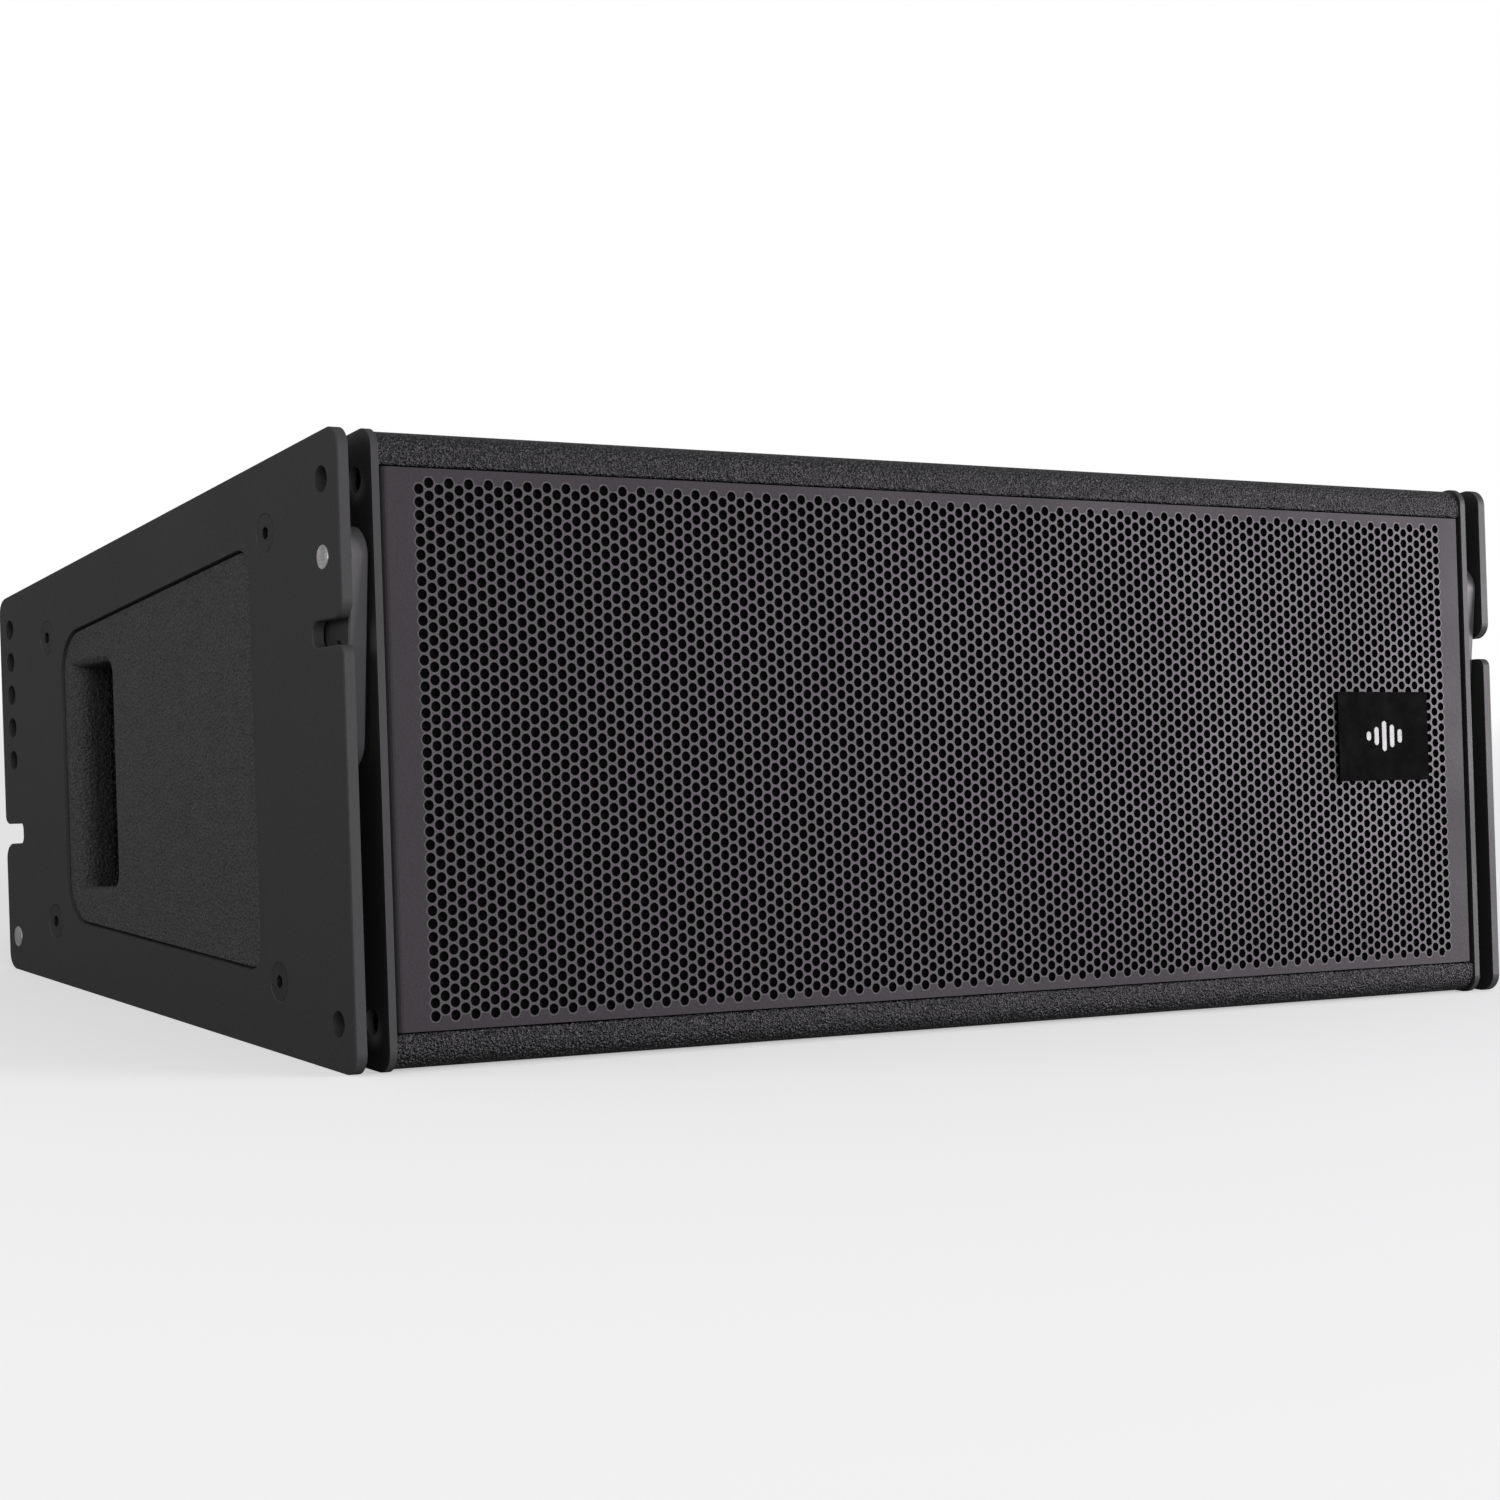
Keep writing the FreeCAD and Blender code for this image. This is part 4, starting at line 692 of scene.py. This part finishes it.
def foam_slab(name, low, high, steps, relief, rough):
    """A foam slab: a rounded block whose front face follows relief(x, z)."""
    shape = Shape()
    columns, rows = steps
    across = [low.x + (high.x - low.x) * i / columns for i in range(columns + 1)]
    up = [low.z + (high.z - low.z) * i / rows for i in range(rows + 1)]
    round_off = min(FOAM_DROP, (high.y - low.y) / 4)

    def front(x, z):
        edge = min(x - low.x, high.x - x, z - low.z, high.z - z)
        drop = round_off * max(0.0, 1 - edge / FOAM_ROUND) ** 2
        ragged = rough * (0.5 + 0.5 * noise.noise(Vector((x, 0.0, z)) / FOAM_TUFT))
        return (x, low.y + relief(x, z) + drop + ragged, z)

    grid = [[front(x, z) for z in up] for x in across]
    for one, other in zip(grid, grid[1:]):
        shape.strip(one, other)
    rim = [row[0] for row in grid] + grid[-1][1:] + [row[-1] for row in reversed(grid[:-1])]
    rim += list(reversed(grid[0][1:-1])) + [grid[0][0]]
    back = [(x, high.y, z) for x, y, z in rim]
    shape.strip(rim, back)
    middle = ((low.x + high.x) / 2, high.y, (low.z + high.z) / 2)
    for a, b in zip(back, back[1:]):
        shape.face(a, b, middle)
    return shape.piece(name, "acoustic_foam", smooth=True)


low, high = enclosure_box("grille_foam")
front_foam = foam_slab(
    "grille_foam_pad", low, high, steps=(240, 88), relief=lambda x, z: 0.0, rough=0.0006
)
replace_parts(front_foam, "grille_foam")

EGG_PITCH = 0.03
EGG_DEPTH = 0.012
for name, side in (("left_damping_pad", -1), ("right_damping_pad", 1)):
    low, high = enclosure_box("damping_foam", lambda point: point.x * side > 0)

    def egg_crate(x, z):
        wave = math.cos(2 * math.pi * x / EGG_PITCH) * math.cos(2 * math.pi * z / EGG_PITCH)
        return EGG_DEPTH * (0.5 - 0.5 * wave)

    pad = foam_slab(name, low, high, steps=(84, 56), relief=egg_crate, rough=0.0003)
    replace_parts(pad, "damping_foam")

# ---------------------------------------------------------------- badge mark

badge_low, badge_high = enclosure_box("badge")
MARK_HEIGHTS = (0.3, 0.6, 1.0, 0.75, 0.45)
MARK_TALL = 0.018
MARK_WIDE = 0.0035
MARK_GAP = 0.0065
MARK_PROUD = 0.0004
MARK_ARC_STEPS = 12

PAINTS["badge_mark"] = speckled(
    "badge_mark", (0.5, 0.5, 0.5), (0.62, 0.62, 0.62), roughness=0.4, size=0.001, depth=0.00002
)


def badge_mark():
    """Five level bars, a plain sign for sound, a little proud of the badge."""
    shape = Shape()
    middle = (badge_low + badge_high) / 2
    for place, share in enumerate(MARK_HEIGHTS):
        x = middle.x + (place - (len(MARK_HEIGHTS) - 1) / 2) * MARK_GAP
        half = MARK_TALL * share / 2
        outline = []
        for end, centre in ((1, half - MARK_WIDE / 2), (-1, -half + MARK_WIDE / 2)):
            for k in range(MARK_ARC_STEPS + 1):
                turn = math.pi * k / MARK_ARC_STEPS
                a = x + end * MARK_WIDE / 2 * math.cos(turn)
                outline.append((a, middle.z + centre + end * MARK_WIDE / 2 * math.sin(turn)))
        outline.append(outline[0])
        front = [(a, badge_low.y - MARK_PROUD, b) for a, b in outline]
        back = [(a, badge_low.y + MARK_PROUD, b) for a, b in outline]
        shape.strip(front, back)
        shape.face(*front[:-1])
        shape.face(*back[:-1])
    piece = shape.piece("badge_mark", "badge_plastic")
    piece.data.materials[0] = PAINTS["badge_mark"].material


badge_mark()

# ---------------------------------------------------------------- stage and light

FLOOR_SIDE = 30.0
FLOOR_DIM = 0.3  # what the object sees
FLOOR_PALE = 0.7  # what the camera sees, with the glow
FLOOR_GLOW = 0.45
FADE_FROM = 1.2  # the floor turns white between these distances from the origin
FADE_TO = 5.0
AMBIENT = 0.3
AMBIENT_COLOUR = (0.97, 0.97, 1.0)


def stage():
    """A plain pale floor under a pale, even sky.

    The camera sees both paler than they shine on the object, as a dark object is lit in a
    studio: the room around it stays dim, so that its black paint keeps its depth.
    """
    shade = bpy.data.materials.new("floor")
    shade.use_nodes = True
    tree = shade.node_tree
    tree.nodes.remove(tree.nodes["Principled BSDF"])
    dim = tree.nodes.new("ShaderNodeBsdfDiffuse")
    dim.inputs["Color"].default_value = (*[FLOOR_DIM] * 3, 1.0)
    pale = tree.nodes.new("ShaderNodeBsdfDiffuse")
    pale.inputs["Color"].default_value = (*[FLOOR_PALE] * 3, 1.0)
    glow = tree.nodes.new("ShaderNodeEmission")
    glow.inputs["Strength"].default_value = FLOOR_GLOW
    both = tree.nodes.new("ShaderNodeAddShader")
    tree.links.new(pale.outputs[0], both.inputs[0])
    tree.links.new(glow.outputs[0], both.inputs[1])
    place = tree.nodes.new("ShaderNodeNewGeometry")
    away = tree.nodes.new("ShaderNodeVectorMath")
    away.operation = "LENGTH"
    tree.links.new(place.outputs["Position"], away.inputs[0])
    fade = tree.nodes.new("ShaderNodeMapRange")
    fade.inputs["From Min"].default_value = FADE_FROM
    fade.inputs["From Max"].default_value = FADE_TO
    tree.links.new(away.outputs["Value"], fade.inputs["Value"])
    white = tree.nodes.new("ShaderNodeEmission")
    seen = tree.nodes.new("ShaderNodeMixShader")
    tree.links.new(fade.outputs["Result"], seen.inputs[0])
    tree.links.new(both.outputs[0], seen.inputs[1])
    tree.links.new(white.outputs[0], seen.inputs[2])
    seen_by_camera(tree, seen, dim, tree.nodes["Material Output"])
    mesh = bpy.data.meshes.new("floor")
    half = FLOOR_SIDE / 2
    corners = [(-half, -half, 0), (half, -half, 0), (half, half, 0), (-half, half, 0)]
    mesh.from_pydata(corners, [], [(0, 1, 2, 3)])
    mesh.materials.append(shade)
    floor = bpy.data.objects.new("floor", mesh)
    bpy.context.scene.collection.objects.link(floor)

    world = bpy.data.worlds.new("studio")
    bpy.context.scene.world = world
    world.use_nodes = True
    tree = world.node_tree
    light = tree.nodes["Background"]
    light.inputs["Color"].default_value = (*AMBIENT_COLOUR, 1.0)
    light.inputs["Strength"].default_value = AMBIENT
    sky = tree.nodes.new("ShaderNodeBackground")
    sky.inputs["Color"].default_value = (1.0, 1.0, 1.0, 1.0)
    seen_by_camera(tree, sky, light, tree.nodes["World Output"])


def seen_by_camera(tree, camera_shader, light_shader, output):
    """Show one shader to the camera and light the scene with another."""
    choose = tree.nodes.new("ShaderNodeMixShader")
    ray = tree.nodes.new("ShaderNodeLightPath")
    tree.links.new(ray.outputs["Is Camera Ray"], choose.inputs[0])
    tree.links.new(light_shader.outputs[0], choose.inputs[1])
    tree.links.new(camera_shader.outputs[0], choose.inputs[2])
    tree.links.new(choose.outputs[0], output.inputs["Surface"])


def soft_box(name, at, aim, size, power, colour=(1.0, 1.0, 1.0)):
    """A rectangular area light that faces a point."""
    data = bpy.data.lights.new(name, "AREA")
    data.shape = "RECTANGLE"
    data.size, data.size_y = size
    data.energy = power
    data.color = colour
    lamp = bpy.data.objects.new(name, data)
    bpy.context.scene.collection.objects.link(lamp)
    lamp.location = at
    lamp.rotation_mode = "QUATERNION"
    lamp.rotation_quaternion = (Vector(aim) - Vector(at)).to_track_quat("-Z", "Y")


stage()
soft_box(
    "key",
    at=(2.9, -2.1, 0.75),
    aim=(0.1, -0.2, 0.15),
    size=(1.6, 1.2),
    power=88,
    colour=(1.0, 0.95, 1.0),
)
soft_box("overhead", at=(0.2, -0.9, 2.4), aim=(0.0, -0.1, 0.15), size=(2.4, 1.0), power=1.5)
soft_box("left_fill", at=(-2.8, 0.2, 0.9), aim=(-0.3, 0.0, 0.15), size=(1.6, 1.2), power=22)
soft_box("front_fill", at=(-0.9, -3.0, 0.7), aim=(-0.2, -0.2, 0.15), size=(1.2, 1.0), power=19)

bpy.context.scene.view_settings.view_transform = "Standard"
